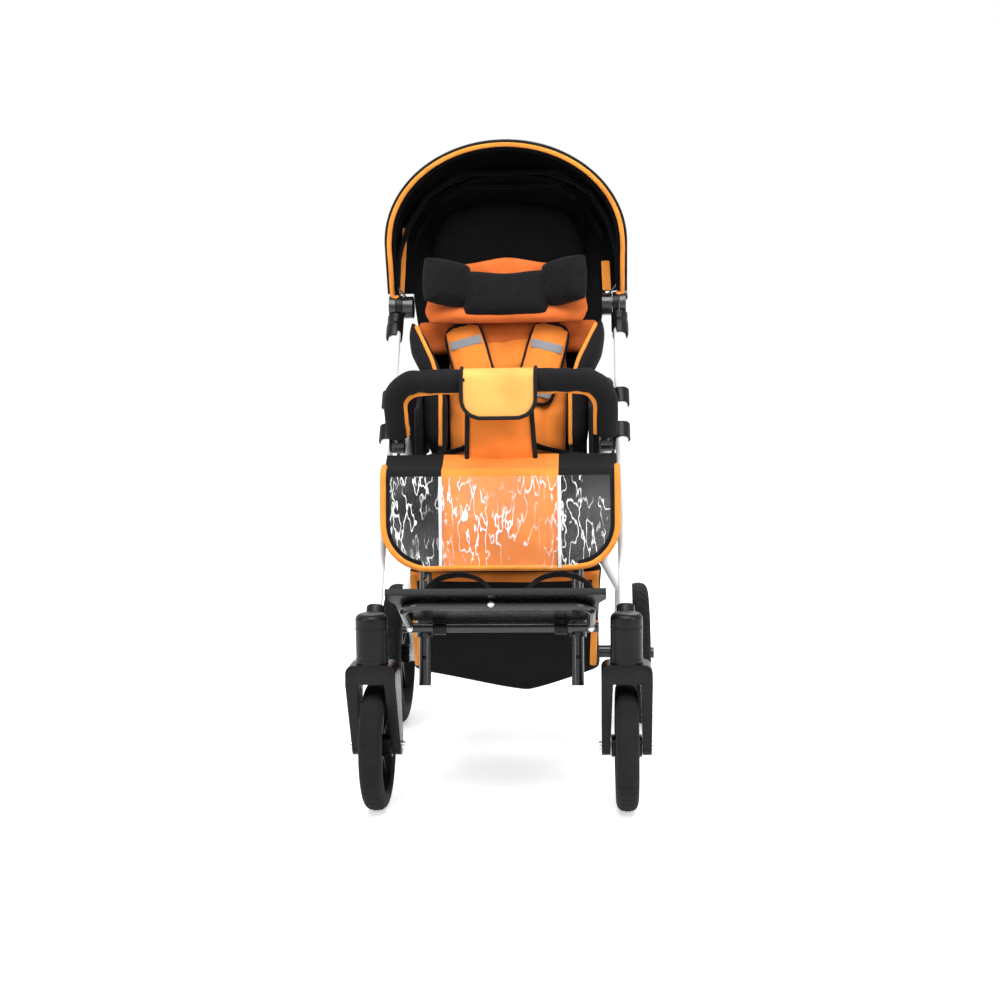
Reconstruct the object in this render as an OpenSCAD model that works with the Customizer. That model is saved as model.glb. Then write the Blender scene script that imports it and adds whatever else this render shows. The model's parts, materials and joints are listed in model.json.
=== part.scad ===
// Special needs buggy. The front looks towards -Y, +X is the rider's left, and z = 0 is the floor.
// Lengths are in millimetres and angles in degrees.

/* [Wheels] */
// Outer radius of the front wheels
front_wheel_r = 115; // [105:1:122]
// Width of the front tyres
front_tyre_w = 40; // [34:1:44]
// Outer radius of the rear wheels
rear_wheel_r = 154; // [145:1:165]
// Width of the rear tyres
rear_tyre_w = 44; // [38:1:50]
// Depth of the tyre from its tread to its bead
tyre_depth = 24; // [22:1:30]
// Thickness of the rim's ring
rim_ring_t = 7; // [5:0.5:10]
// Width of the rim's ring
rim_ring_w = 30; // [24:1:32]
// Number of spokes in each rim
spoke_count = 10; // [6:1:12]
// Width of one spoke
spoke_w = 8; // [6:0.5:10]
// Thickness of one spoke along the axle
spoke_t = 14; // [8:1:20]
// Diameter of the wheel hubs
hub_d = 40; // [36:1:50]
// Width of the front hubs between the fork blades
front_hub_w = 54; // [50:1:64]
// How far a rear hub stands out beside its tyre
hub_overhang = 4; // [2:0.5:6]

/* [Casters] */
// Distance from the swivel axis back to the front axle
caster_trail = 40; // [35:1:45]
// Diameter of the caster housings
housing_d = 56; // [50:1:62]
// Height of the caster housings
housing_h = 63; // [56:1:84]
// Height of the domed caps on the housings
cap_h = 24; // [18:1:28]
// Diameter of the swivel stem
stem_d = 12; // [10:0.5:14]
// Outer diameter of the swivel bearings
bearing_d = 28; // [24:1:32]
// Height of one swivel bearing
bearing_h = 8; // [6:0.5:10]
// Thickness of one fork blade
blade_t = 16; // [12:0.5:18]
// Height of the fork crown
crown_h = 33; // [26:1:36]
// Radius of the fork around the wheel bolt
fork_tip_r = 17; // [14:0.5:20]
// Diameter of the front wheel bolt
front_bolt_d = 8; // [6:0.5:10]

/* [Main frame] */
// Distance between the front and rear axles
wheelbase = 600; // [580:5:660]
// Distance from the middle to each main tube
main_x = 222; // [218:1:240]
// Diameter of the frame tubes
tube_d = 24; // [22:0.5:26]
// Wall of the frame tubes
tube_wall = 2; // [1.5:0.25:3]
// Lean of the main tubes back from the vertical
main_tilt = 34.8; // [33:0.2:36]
// Length along the main tube from its foot to the handle joint
main_len = 680; // [665:5:700]
// Place of the front crossbar along the main tube
crossbar_station = 199; // [194:1:206]
// Place of the rear leg pivot along the main tube
pivot_station = 382; // [377:1:388]
// Distance from the rear leg pivot up to the armrest clamp along the main tube
armrest_rise = 77; // [70:1:84]
// Diameter of the front crossbar
crossbar_d = 20; // [18:0.5:22]
// Wall of a clamp around its tube
clamp_t = 4; // [3:0.5:5]
// Length of a clamp along its tube
clamp_len = 32; // [26:1:38]
// Thickness of the flat links beside the tubes
link_t = 5; // [4:0.5:6]
// Width of the flat links
link_w = 26; // [22:1:30]
// Diameter of the rear leg pivot pins
pivot_pin_d = 12; // [10:0.5:14]

/* [Rear frame] */
// Distance from the middle to the middle of each rear tyre
rear_track_x = 264; // [258:1:280]
// Distance along the rear leg at which it starts to flare outwards
flare_start = 345; // [330:5:360]
// Distance along the rear leg at which the flare ends
flare_end = 425; // [410:5:450]
// Diameter of the boss at the foot of each rear leg
foot_boss_d = 36; // [32:1:42]
// Width of that boss
foot_boss_w = 30; // [26:1:34]
// Diameter of the axle tube between the legs
axle_d = 22; // [18:1:26]
// Diameter of the rear wheel spindles
spindle_d = 12; // [10:0.5:14]
// Diameter of the caps on the spindle ends
spindle_cap_d = 24; // [20:1:30]
// Thickness of those caps
spindle_cap_t = 6; // [4:0.5:8]
// Length of the brake arms behind the axle
brake_reach = 50; // [42:1:60]
// Diameter of the brake bar
brake_bar_d = 12; // [10:0.5:14]
// Width of the foot pedal on the brake bar
pedal_w = 120; // [90:5:150]

/* [Seat] */
// Width of the seat cushion
seat_w = 330; // [300:2:336]
// Depth of the seat from front to back
seat_depth = 310; // [300:2:330]
// How far the seat stands out in front of the crossbar
seat_overhang = 44; // [40:1:52]
// Diameter of the seat rails
rail_d = 22; // [20:0.5:24]
// Distance from the middle to each seat rail
rail_x = 160; // [152:1:161]
// Bend radius at the back of the seat frame
rail_bend_r = 40; // [34:1:50]
// Thickness of the seat board
board_t = 8; // [6:0.5:10]
// Thickness of the seat cushion at its edge
seat_edge_t = 38; // [30:1:44]
// Extra height of the seat cushion in its middle
seat_crown = 14; // [6:1:18]
// Height of the backrest hinge above the seat rails
hinge_rise = 52; // [48:1:58]
// Thickness of the hinge plates
hinge_plate_t = 6; // [5:0.5:8]
// Diameter of the backrest hinge pins
hinge_pin_d = 10; // [8:0.5:12]

/* [Apron and harness] */
// Width of the apron that hangs in front of the seat
apron_w = 420; // [380:5:440]
// Length of the hanging part of the apron
apron_drop = 160; // [140:2:166]
// Thickness of the apron
apron_t = 5; // [4:0.5:6]
// Radius of the apron's lower corners
apron_corner_r = 80; // [50:2:90]
// Lean of the hanging apron, forwards at its foot
apron_lean = 7; // [4:0.5:9]
// Bend radius where the apron turns down over the seat front
apron_bend_r = 22; // [16:1:28]
// Depth of the apron's part that lies on the seat
apron_lap = 60; // [45:1:75]
// Thickness of the clear cover on the apron
cover_t = 1; // [0.8:0.1:1.5]
// Border of the apron left free around the clear cover
cover_border = 14; // [10:1:20]
// Width of the crotch strap
strap_w = 126; // [100:2:140]
// Thickness of the crotch strap
strap_t = 5; // [4:0.5:6]
// Length of the crotch strap above the seat
strap_len = 104; // [90:1:108]
// Lean of the crotch strap, forwards at its top
strap_lean = 17; // [14:0.5:19]
// Width of the harness buckle
buckle_w = 62; // [50:1:75]
// Height of the harness buckle
buckle_l = 48; // [40:1:56]
// Thickness of the harness buckle
buckle_t = 16; // [12:1:20]

/* [Armrests and side panels] */
// Length of the armrest pads
arm_len = 215; // [190:5:225]
// Width of the armrest pads
arm_w = 41; // [34:0.5:41]
// Thickness of the armrest pads
arm_t = 22; // [18:1:26]
// Height of the pads' underside above the armrest clamps
arm_rise = 15; // [13:1:18]
// Thickness of the padded side panels
panel_t = 5; // [4:0.5:5]
// Length of the side panels from front to back
panel_len = 190; // [170:2:200]
// Height of the side panels
panel_h = 250; // [220:5:260]

/* [Bumper bar] */
// Distance of the bumper pivots in front of the leg pivots
bumper_fwd = 64; // [58:1:68]
// Distance of the bumper pivots below the leg pivots
bumper_drop = 16; // [12:1:20]
// Height of the bumper arch along its legs
bumper_len = 140; // [132:1:148]
// Lean of the bumper arch, forwards at its top
bumper_lean = 32; // [28:1:34]
// Diameter of the bumper tube
bumper_tube_d = 20; // [18:0.5:22]
// Diameter of the padded bumper sleeve
bumper_sleeve_d = 40; // [34:1:42]
// Bend radius at the bumper's corners
bumper_bend_r = 48; // [44:1:60]
// Width of the flap over the middle of the bumper
flap_w = 132; // [120:2:150]
// Thickness of the flap
flap_t = 5; // [4:0.5:6]
// Length of the flap below the middle of the bar
flap_drop = 72; // [50:1:78]

/* [Footrest] */
// Distance from the middle to each footrest hanger
hanger_x = 137; // [130:1:137]
// Diameter of the footrest hangers
hanger_d = 22; // [20:0.5:24]
// Length of the hangers below the crossbar
hanger_len = 303; // [297:1:306]
// Lean of the hangers, forwards at their foot
hanger_lean = 14; // [12:0.5:15]
// Diameter of the adjustment holes in the hangers
hole_d = 7.5; // [6:0.25:9]
// Place of the lower adjustment hole, measured up from the hanger's foot
hole_low = 50; // [40:1:52]
// Place of the upper adjustment hole, measured up from the hanger's foot
hole_high = 190; // [170:1:200]
// Place of the footrest cross tube along the hanger, below the crossbar
carriage_station = 201; // [194:1:204]
// Length of the carriage sleeves on the hangers
sleeve_len = 32; // [28:1:36]
// Diameter of the footrest cross tube
cross_tube_d = 18; // [16:0.5:20]
// Tilt of the footplate at rest, front edge up
plate_tilt = 28; // [24:1:34]
// Depth of the footplate
plate_depth = 160; // [145:1:165]
// Half width of the footplate beside the casters
plate_half_w = 174; // [172:1:186]
// Half width of the footplate's flared front corners
plate_flare_w = 187; // [182:1:206]
// Depth of the flared corners
flare_depth = 52; // [36:1:54]
// Thickness of the footplate
plate_t = 3; // [2:0.5:4]
// Height of the raised edges of the footplate
plate_lip_h = 12; // [8:1:16]
// Diameter of the bent tube below the footplate
plate_tube_d = 16; // [14:0.5:18]
// Half width of that bent tube
plate_tube_x = 161; // [150:1:165]
// Bend radius of that tube
plate_bend_r = 36; // [28:1:44]
// Width of one foot loop
loop_w = 126; // [100:2:134]
// Width of the webbing of the foot loops
webbing_w = 24; // [18:1:30]
// Thickness of that webbing
webbing_t = 3; // [2:0.5:4]

/* [Backrest] */
// Lean of the backrest at rest
back_lean = 12.8; // [11:0.2:14]
// Length of the backrest above its hinge
back_len = 540; // [520:5:550]
// Diameter of the backrest frame tube
back_tube_d = 20; // [18:0.5:22]
// Bend radius at the top corners of the backrest frame
back_bend_r = 60; // [50:2:80]
// Thickness of the back shell
shell_t = 8; // [6:0.5:10]
// Half width of the back shell
shell_half_w = 155; // [150:1:156]
// Thickness of the back cushions at their edge
back_edge_t = 26; // [20:1:30]
// Extra thickness of the back cushions in their middle
back_crown = 16; // [8:1:18]
// Extra thickness of the upper back pad in its middle
upper_crown = 8; // [4:1:12]
// Width of the lower back cushion
back_pad_w = 236; // [220:2:240]
// Height of the lower back cushion
back_pad_l = 276; // [264:2:280]
// Height at which the lower back cushion starts above the hinge
back_pad_low = 16; // [14:1:22]
// Width of the upper back pad
upper_pad_w = 304; // [280:2:308]
// Width of one lateral pad
lateral_w = 34; // [28:1:36]
// Depth of the lateral pads from back to front
lateral_depth = 120; // [100:2:130]
// Height of the lateral pads
lateral_h = 235; // [210:5:240]
// Width of one shoulder pad of the harness
shoulder_w = 74; // [60:1:80]
// Length of one shoulder pad
shoulder_l = 158; // [140:2:164]
// Thickness of one shoulder pad
shoulder_t = 11; // [9:0.5:13]
// Distance from the middle to the middle of each shoulder pad
shoulder_x = 72; // [68:1:73]

/* [Headrest] */
// Width of the headrest across its wings
head_w = 333; // [320:1:340]
// Width of the middle part of the headrest
head_mid_w = 180; // [165:1:190]
// Height of the headrest cushion
head_h = 92; // [80:1:100]
// Thickness of the headrest cushion at its edge
head_edge_t = 22; // [16:1:26]
// Extra thickness of the headrest's wings in their middle
head_crown = 12; // [6:1:16]
// Extra thickness of the headrest's middle part
head_mid_crown = 6; // [3:1:9]
// Turn of the headrest's wings towards the front
wing_turn = 38; // [30:1:42]
// Height of the liner behind the headrest
liner_h = 136; // [126:1:137]
// Width of the liner behind the headrest
liner_w = 300; // [270:2:310]
// Thickness of the liner
liner_t = 14; // [10:1:16]
// Middle height of the headrest above the backrest hinge
head_mid = 346; // [346:1:358]
// Travel of the headrest
head_travel = 50; // [40:1:60]
// Width of the headrest stem
head_stem_w = 40; // [30:1:46]
// Height of the headrest stem
head_stem_h = 36; // [28:1:40]

/* [Canopy] */
// Radius of the canopy at the middle of its top
canopy_r = 327; // [320:1:350]
// Half width of the canopy
canopy_half_w = 238; // [237:1:250]
// Radius up to which the canopy sides stay at full width
canopy_side_r = 125; // [110:1:140]
// Radius at which the canopy sides start above the hinge
canopy_low_r = 60; // [56:1:70]
// Angle of the front rim above the forward horizontal
rim_angle = 72; // [70:1:75]
// Angle covered by the moving front section
front_span = 13; // [11:1:14]
// Angle at which the fixed rear section ends
rear_angle = 118; // [116:1:120]
// Overlap of the two sections
canopy_lap = 3; // [2:0.5:4]
// Thickness of the canopy cloth
cloth_t = 2; // [1.5:0.25:2.5]
// Depth of the canopy bows
bow_t = 5; // [4:0.5:6]
// Angle covered by the width of a bow
bow_span = 3; // [2:0.5:4]
// Radius of the round canopy hubs
canopy_hub_r = 22; // [20:0.5:23]
// Width of the canopy hubs
canopy_hub_w = 20; // [16:0.5:22]
// Height of the back panel above the hinge of the backrest
back_panel_top = 586; // [575:1:588]
// Half width of the back panel at its widest
back_panel_half_w = 200; // [185:1:204]
// Half width of the back panel at its top
back_panel_top_w = 100; // [85:1:108]

/* [Push handle] */
// Length of the handle arms from the joint to the grip
arm_reach = 390; // [380:5:405]
// Rise of the handle arms at rest above the backward horizontal
arm_rise_angle = 35; // [32:1:38]
// Diameter of the handle tube
handle_d = 22; // [20:0.5:24]
// Bend radius at the handle's corners
handle_bend_r = 60; // [50:2:80]
// Diameter of the foam grip
grip_d = 34; // [30:1:38]
// Length of the foam grip
grip_len = 300; // [260:5:320]
// Radius of the handle joint
joint_r = 24; // [22:0.5:25]
// Thickness of each half of the handle joint
joint_t = 12.5; // [11:0.25:13]

/* [Basket] */
// Length of the basket
basket_len = 350; // [300:5:360]
// Height of the basket's rim above the floor
basket_top = 403; // [390:1:415]
// Height of the basket's sides above the floor at their foot
basket_side_z = 216; // [208:1:230]
// Height of the sagging bottom above the floor at its lowest
basket_low_z = 178; // [172:1:200]
// Sideways place of the lowest point of the bottom
basket_sag_x = 40; // [0:1:60]
// Distance of the basket's front behind the crossbar
basket_back = 34; // [30:1:44]
// Thickness of the basket's cloth
basket_t = 2.5; // [2:0.25:3]
// Width of the straps that carry the basket
basket_strap_w = 28; // [22:1:30]

/* [Hidden] */
$fn = 48;

// Clearances: a turning shaft in its hole, flat or fixed faces, soft pieces, and parts that pass
run_gap = 0.05;
seat_gap = 0.1;
flat_gap = 0.3;
soft_gap = 0.5;
side_gap = 1;
overrun = 2;

// Colours
white_paint = "white";
black_paint = "#202020";
black_cloth = "#262628";
orange_cloth = "#f08a1c";
rubber_black = "#18181a";
steel_grey = "silver";
clear_film = [0.9, 0.95, 1, 0.4];

// Front axle, swivel axis and the heights that stack up over the front wheel
front_axle_y = -(wheelbase + rear_wheel_r - front_wheel_r) / 2;
rear_axle_y = front_axle_y + wheelbase;
caster_y = front_axle_y - caster_trail;
crown_gap = 11;
crown_z = 2 * front_wheel_r + crown_gap;
crown_top = crown_z + crown_h;
housing_z = crown_top + flat_gap;
housing_top = housing_z + housing_h;
housing_roof = 6;
foot_rise = 7;
tube_foot_z = housing_top + foot_rise;
socket_t = 4;
socket_up = 22;
socket_down = 28;

// Places along the main tube
function on_tube(s) = [main_x, front_axle_y + s * sin(main_tilt), tube_foot_z + s * cos(main_tilt)];
crossbar_at = on_tube(crossbar_station);
pivot_at = on_tube(pivot_station);
armrest_station = pivot_station + armrest_rise;
armrest_at = on_tube(armrest_station);
joint_at = on_tube(main_len);
collar_len = 38;
tube_insert = 24;
tube_top_s = main_len - joint_r - side_gap - collar_len + tube_insert;
clamp_d = tube_d + 2 * (clamp_t + seat_gap);

// Rear leg and the flat links beside it
leg_room = link_t + 2 * side_gap;
link_x = main_x - tube_d / 2 - leg_room + side_gap;
leg_x = main_x - tube_d - leg_room;
leg_eye_wall = 4;
leg_eye_d = tube_d + 2 * leg_eye_wall;
leg_foot_x = rear_track_x - rear_tyre_w / 2 - hub_overhang - side_gap - foot_boss_w / 2;
axle_at = [leg_foot_x, rear_axle_y, rear_wheel_r];
leg_top = [leg_x, pivot_at.y, pivot_at.z];
leg_line = [0, axle_at.y - pivot_at.y, axle_at.z - pivot_at.z];
leg_dir = leg_line / norm(leg_line);
leg_knee = leg_top + flare_start * leg_dir;
leg_ankle = [leg_foot_x, pivot_at.y, pivot_at.z] + flare_end * leg_dir;
brake_arm_x = 150;
brake_arm_w = 18;
brake_sleeve_t = 4;
pedal_depth = 34;
pedal_t = 5;

// Seat heights and places
rail_z = crossbar_at.z + (crossbar_d + rail_d) / 2 + flat_gap;
seat_front = crossbar_at.y - seat_overhang;
seat_rear = seat_front + seat_depth;
rail_front_inset = 5;
board_z = rail_z + rail_d / 2 + flat_gap;
cushion_z = board_z + board_t + flat_gap;
seat_top = cushion_z + seat_edge_t + seat_crown;
cushion_overhang = 5;
cushion_front = seat_front - cushion_overhang;
hinge_inset = 10;
hinge_at = [0, seat_rear - hinge_inset, rail_z + hinge_rise];
hinge_plate_r = 14;
hinge_foot = 46;
back_leg_x = rail_x - hinge_plate_t / 2 - side_gap / 2 - back_tube_d / 2;
stay_back = 134;
rear_stay_y = pivot_at.y + stay_back;
stay_pin_d = 14;

// Apron and strap
apron_top = seat_top + flat_gap + apron_t;
apron_mid_y = cushion_front + apron_bend_r - apron_t - soft_gap;
arc_steps = 10;
cover_film_drop = 18;
strap_inset = 5;
strap_foot_y = apron_mid_y + apron_lap - apron_bend_r - strap_inset;
buckle_rise = 46;
buckle_notch = 8;

// Side panels and armrests
panel_x = rail_x + side_gap;
panel_lift = 12;
panel_low = seat_top + panel_lift;
panel_lead = 24;
panel_front = pivot_at.y - panel_lead;
panel_front_h_share = 0.42;
arm_x = panel_x + panel_t + soft_gap;
arm_lead = 48;
arm_front = armrest_at.y - arm_lead;
arm_z = armrest_at.z + arm_rise;
arm_plate_t = 7;
arm_plate_l = 96;
arm_plate_lead = 32;
arm_plate_inset = 5;

// Bumper pivots
bumper_at = [0, pivot_at.y - bumper_fwd, pivot_at.z - bumper_drop];
bumper_eye_w = bumper_tube_d + 2 * side_gap;
bumper_eye_d = 30;
bumper_pin_d = 10;
bumper_x = link_x - side_gap / 2 - bumper_eye_w / 2;
bumper_sleeve_low = 36;

// Footrest
hanger_off = (crossbar_d + hanger_d) / 2 + flat_gap;
hanger_eye_t = 6;
hanger_eye_w = 20;
hanger_place = min(hanger_x, rail_x - (rail_d + hanger_d) / 2 - side_gap);
hanger_top = 16;
sleeve_t = 5;
cross_tube_len = 350;
cross_off = hanger_off + (hanger_d + cross_tube_d) / 2 + sleeve_t - side_gap;
cross_at = [
    0,
    crossbar_at.y - cross_off * cos(hanger_lean) - carriage_station * sin(hanger_lean),
    crossbar_at.z + cross_off * sin(hanger_lean) - carriage_station * cos(hanger_lean)
];
plate_ear_x = 108;
plate_ear_w = 24;
plate_ear_t = 4;
plate_z = plate_tube_d / 2 + flat_gap;
plate_back = 16;
plate_tube_front = 128;
plate_tube_back = 22;
loop_left_x = 108;
loop_right_x = -70;
loop_place = 78;

// Backrest stack, measured forwards from the frame tube
shell_y = -(back_tube_d / 2 + flat_gap);
pad_y = shell_y - shell_t - flat_gap;
upper_pad_low = back_pad_low + back_pad_l + side_gap;
upper_pad_l = back_len - upper_pad_low;
pad_front_y = pad_y - back_edge_t - back_crown;
lateral_low = 40;
lateral_x = back_pad_w / 2 + side_gap;
shoulder_low = 118;
shoulder_turn = 6;
slot_gap = 4;
slot_low = head_mid - head_stem_h / 2 - slot_gap;
slot_l = head_stem_h + head_travel + 2 * slot_gap;
mount_plate_w = 84;
mount_plate_h = 66;
mount_plate_t = 5;
back_panel_t = 4;
back_panel_low = 60;
back_panel_side_shares = [0.62, 0.86];

// Canopy shells, counted inwards from the outside of the front section
canopy_gap = 2;
rear_skin = cloth_t + flat_gap + bow_t + canopy_gap;
arch_steps = 12;
hub_x = joint_at.x - side_gap / 2 - joint_t - side_gap - canopy_hub_w;
hub_pin_d = 10;
bow_foot_w = 5;
bow_foot_share = 0.8;

// Push handle and its joint
joint_neck_w = 18;
joint_neck_in = 11;
arm_x_mid = main_x + side_gap / 2 + joint_t / 2;

// Basket
basket_half = rail_x + rail_d / 2 + soft_gap + basket_t;
basket_front = crossbar_at.y + basket_back;
basket_strap_ys = [
    basket_front + basket_strap_w,
    rear_stay_y - stay_pin_d - basket_strap_w
];

// Unit vector, and a frame whose third axis runs along a direction
function unit(v) = v / norm(v);
function across(d) = unit(cross(d, abs(d.z) < 0.9 ? [0, 0, 1] : [1, 0, 0]));
function matrix(a, b, c, at) = [
    [a.x, b.x, c.x, at.x],
    [a.y, b.y, c.y, at.y],
    [a.z, b.z, c.z, at.z],
    [0, 0, 0, 1]
];
function arc(r, from, to, steps) = [
    for (i = [0:steps])
        let (a = from + (to - from) * i / steps)
            [r * cos(a), r * sin(a)]
];
function reversed(list) = [for (i = [len(list) - 1:-1:0]) list[i]];

// Both sides, mirrored over the middle plane
module both() {
    children();
    mirror([1, 0, 0])
        children();
}

module opposite() {
    mirror([1, 0, 0])
        children();
}

// Round or hollow section of a tube
module section(d, wall) {
    difference() {
        circle(d = d);
        if (wall > 0)
            circle(d = d - 2 * wall);
    }
}

// Straight tube from one point to another
module straight(from, to, d, wall = 0) {
    dir = unit(to - from);
    side = across(dir);
    multmatrix(matrix(side, cross(dir, side), dir, from))
        linear_extrude(height = norm(to - from))
            section(d, wall);
}

// Tube through a list of points, with the same bend radius at each inner point
module tube_run(points, bend_r, d, wall = 0) {
    last = len(points) - 1;
    dirs = [for (i = [0:last - 1]) unit(points[i + 1] - points[i])];
    turns = [for (i = [1:last - 1]) acos(dirs[i - 1] * dirs[i])];
    setbacks = concat(0, [for (t = turns) bend_r * tan(t / 2)], 0);
    for (i = [0:last - 1])
        straight(points[i] + setbacks[i] * dirs[i], points[i + 1] - setbacks[i + 1] * dirs[i], d, wall);
    for (i = [1:last - 1]) {
        ahead = dirs[i - 1];
        inward = unit(dirs[i] - (dirs[i] * ahead) * ahead);
        middle = points[i] - setbacks[i] * ahead + bend_r * inward;
        multmatrix(matrix(-inward, ahead, cross(-inward, ahead), middle))
            rotate_extrude(angle = turns[i - 1])
                translate([bend_r, 0])
                    section(d, wall);
    }
}

// Solid bar through a list of points, with a slightly thicker ball at each inner point
module jointed_tube(points, d) {
    last = len(points) - 1;
    for (i = [0:last - 1])
        straight(points[i], points[i + 1], d);
    for (i = [1:last - 1])
        translate(points[i])
            sphere(d = d + side_gap);
}

// Round bar along X between two places
module bar_x(from, to, d) {
    translate([from, 0, 0])
        rotate([0, 90, 0])
            cylinder(d = d, h = to - from);
}

// Outline in the plane across X: a strip with a corner, of half width h
function left_of(d) = [-d.y, d.x];
function bent_strip(a, b, c, h) =
    let (
        n1 = left_of(unit(b - a)),
        n2 = left_of(unit(c - b)),
        mid = unit(n1 + n2),
        corner = h / (mid * n1) * mid
    )
    [a + h * n1, b + corner, c + h * n2, c - h * n2, b - corner, a - h * n1];

module plate_x(from_x, t) {
    translate([from_x, 0, 0])
        rotate([90, 0, 90])
            linear_extrude(height = t)
                children();
}

// Flat plate across X from a foot to a round eye, with its sides drawn in beside the eye
link_neck_share = 0.84;
module link(from_x, t, w, foot, eye) {
    neck = w * link_neck_share;
    reach = [eye.y - foot.y, eye.z - foot.z];
    translate([0, eye.y, eye.z])
        bar_x(from_x, from_x + t, w);
    translate([from_x, foot.y, foot.z])
        rotate([atan2(reach.y, reach.x), 0, 0])
            translate([0, -neck / 2, -neck / 2])
                cube([t, neck / 2 + norm(reach), neck]);
}

// Follows the main tube: the third axis runs up the tube from its foot
module along_tube(s) {
    translate(on_tube(s))
        rotate([-main_tilt, 0, 0])
            children();
}

// Place of the backrest: the third axis runs up the back
module on_backrest() {
    translate(hinge_at)
        rotate([-back_lean, 0, 0])
            children();
}

// Place of the hangers: the third axis runs up along them, through the crossbar
module on_hanger() {
    translate([0, crossbar_at.y, crossbar_at.z])
        rotate([-hanger_lean, 0, 0])
            children();
}

// Place of the footplate: its front edge is at -Y
module on_footplate() {
    translate(cross_at)
        rotate([-plate_tilt, 0, 0])
            children();
}

// Place of the bumper arch: the third axis runs up its legs
module on_bumper() {
    translate(bumper_at)
        rotate([bumper_lean, 0, 0])
            children();
}

// Crowned cushion on its flat back, with sides drawn in between the corners
crown_power = 4;
crown_ease_share = 0.7;
pinch_share = 0.03;
cushion_steps = 12;
pad_steps = 8;
strip_steps = 6;
function cushion_rise(u, v) =
    pow((1 - pow(abs(u), crown_power)) * (1 - pow(abs(v), crown_power)), crown_ease_share);
function cushion_point(w, l, g, z) = [
    w / 2 * g.x * (1 - pinch_share * (1 - g.y * g.y)),
    l / 2 * g.y * (1 - pinch_share * (1 - g.x * g.x)),
    z
];
module cushion(w, l, edge_t, crown, steps = cushion_steps) {
    side = steps + 1;
    ticks = [for (i = [0:steps]) sin(90 * (2 * i / steps - 1))];
    grid = [for (x = ticks, y = ticks) [x, y]];
    count = len(grid);
    top = [for (g = grid) cushion_point(w, l, g, edge_t + crown * cushion_rise(g.x, g.y))];
    foot = [for (g = grid) cushion_point(w, l, g, 0)];
    cells = [for (i = [0:steps - 1]) for (j = [0:steps - 1]) i * side + j];
    top_faces = [for (c = cells) each [[c, c + side + 1, c + side], [c, c + 1, c + side + 1]]];
    foot_faces = [for (f = top_faces) [f[0] + count, f[2] + count, f[1] + count]];
    rim = concat(
        [for (i = [0:steps - 1]) i * side],
        [for (j = [0:steps - 1]) steps * side + j],
        [for (i = [steps:-1:1]) i * side + steps],
        [for (j = [steps:-1:1]) j]
    );
    last = len(rim);
    wall_faces = [
        for (k = [0:last - 1])
            let (a = rim[k], b = rim[(k + 1) % last])
                each [[a, b, b + count], [a, b + count, a + count]]
    ];
    polyhedron(points = concat(top, foot), faces = concat(top_faces, foot_faces, wall_faces));
}

// Wheel pieces, centred on the axle along X
module tyre(r, w) {
    rotate([0, 90, 0])
        rotate_extrude()
            union() {
                translate([r - w / 2, 0])
                    intersection() {
                        circle(d = w);
                        translate([w / 2 - tyre_depth, -w / 2])
                            square([tyre_depth, w]);
                    }
                if (tyre_depth > w / 2)
                    translate([r - tyre_depth, -rim_ring_w / 2])
                        square([tyre_depth - w / 2 + overrun, rim_ring_w]);
            }
}

spoke_root_share = 0.42;
module rim(r, hub_w, bore_d) {
    ring_r = r - tyre_depth - seat_gap;
    difference() {
        union() {
            rotate([0, 90, 0])
                rotate_extrude()
                    translate([ring_r - rim_ring_t, -rim_ring_w / 2])
                        square([rim_ring_t, rim_ring_w]);
            bar_x(-hub_w / 2, hub_w / 2, hub_d);
            for (i = [0:spoke_count - 1])
                rotate([360 * i / spoke_count, 0, 0])
                    translate([-spoke_t / 2, -spoke_w / 2, hub_d * spoke_root_share])
                        cube([spoke_t, spoke_w, ring_r - rim_ring_t / 2 - hub_d * spoke_root_share]);
        }
        bar_x(-hub_w, hub_w, bore_d);
    }
}

module at_front_axle() {
    translate([main_x, front_axle_y, front_wheel_r])
        children();
}

module at_rear_axle() {
    translate([rear_track_x, rear_axle_y, rear_wheel_r])
        children();
}

rear_hub_w = rear_tyre_w + 2 * hub_overhang;

module front_tyre() {
    color(rubber_black)
        at_front_axle()
            tyre(front_wheel_r, front_tyre_w);
}

module front_rim() {
    color(black_paint)
        at_front_axle()
            rim(front_wheel_r, front_hub_w, front_bolt_d + 2 * run_gap);
}

module rear_tyre() {
    color(rubber_black)
        at_rear_axle()
            tyre(rear_wheel_r, rear_tyre_w);
}

module rear_rim() {
    color(black_paint)
        at_rear_axle()
            rim(rear_wheel_r, rear_hub_w, spindle_d + 2 * run_gap);
}

module front_tyre_left() { front_tyre(); }
module front_tyre_right() { opposite() front_tyre(); }
module front_rim_left() { front_rim(); }
module front_rim_right() { opposite() front_rim(); }
module rear_tyre_left() { rear_tyre(); }
module rear_tyre_right() { opposite() rear_tyre(); }
module rear_rim_left() { rear_rim(); }
module rear_rim_right() { opposite() rear_rim(); }

// Fork: a side outline cut to a front outline with round shoulders, slotted for the wheel
fork_half = front_hub_w / 2 + side_gap + blade_t;
stem_len = housing_h - housing_roof - 2 * side_gap;
fork_front = 26;
fork_heel = 40;
fork_shoulder = 30;
fork_round_r = 14;
blade_swell = 4;
module fork_side() {
    bolt = [caster_trail, front_wheel_r];
    rotate([90, 0, 90])
        translate([0, 0, -fork_half])
            linear_extrude(height = 2 * fork_half)
                polygon([
                    [-fork_front, crown_top],
                    [fork_front, crown_top],
                    [fork_heel, crown_z],
                    [bolt.x + fork_tip_r, bolt.y],
                    [bolt.x - fork_tip_r, bolt.y],
                    [-fork_shoulder, crown_z]
                ]);
}

module fork_face() {
    flat_half = fork_half - fork_round_r;
    translate([-fork_half, 0])
        square([2 * fork_half, crown_top - fork_round_r]);
    translate([-flat_half, 0])
        square([2 * flat_half, crown_top]);
    both()
        translate([flat_half, crown_top - fork_round_r])
            circle(r = fork_round_r);
}

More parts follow.
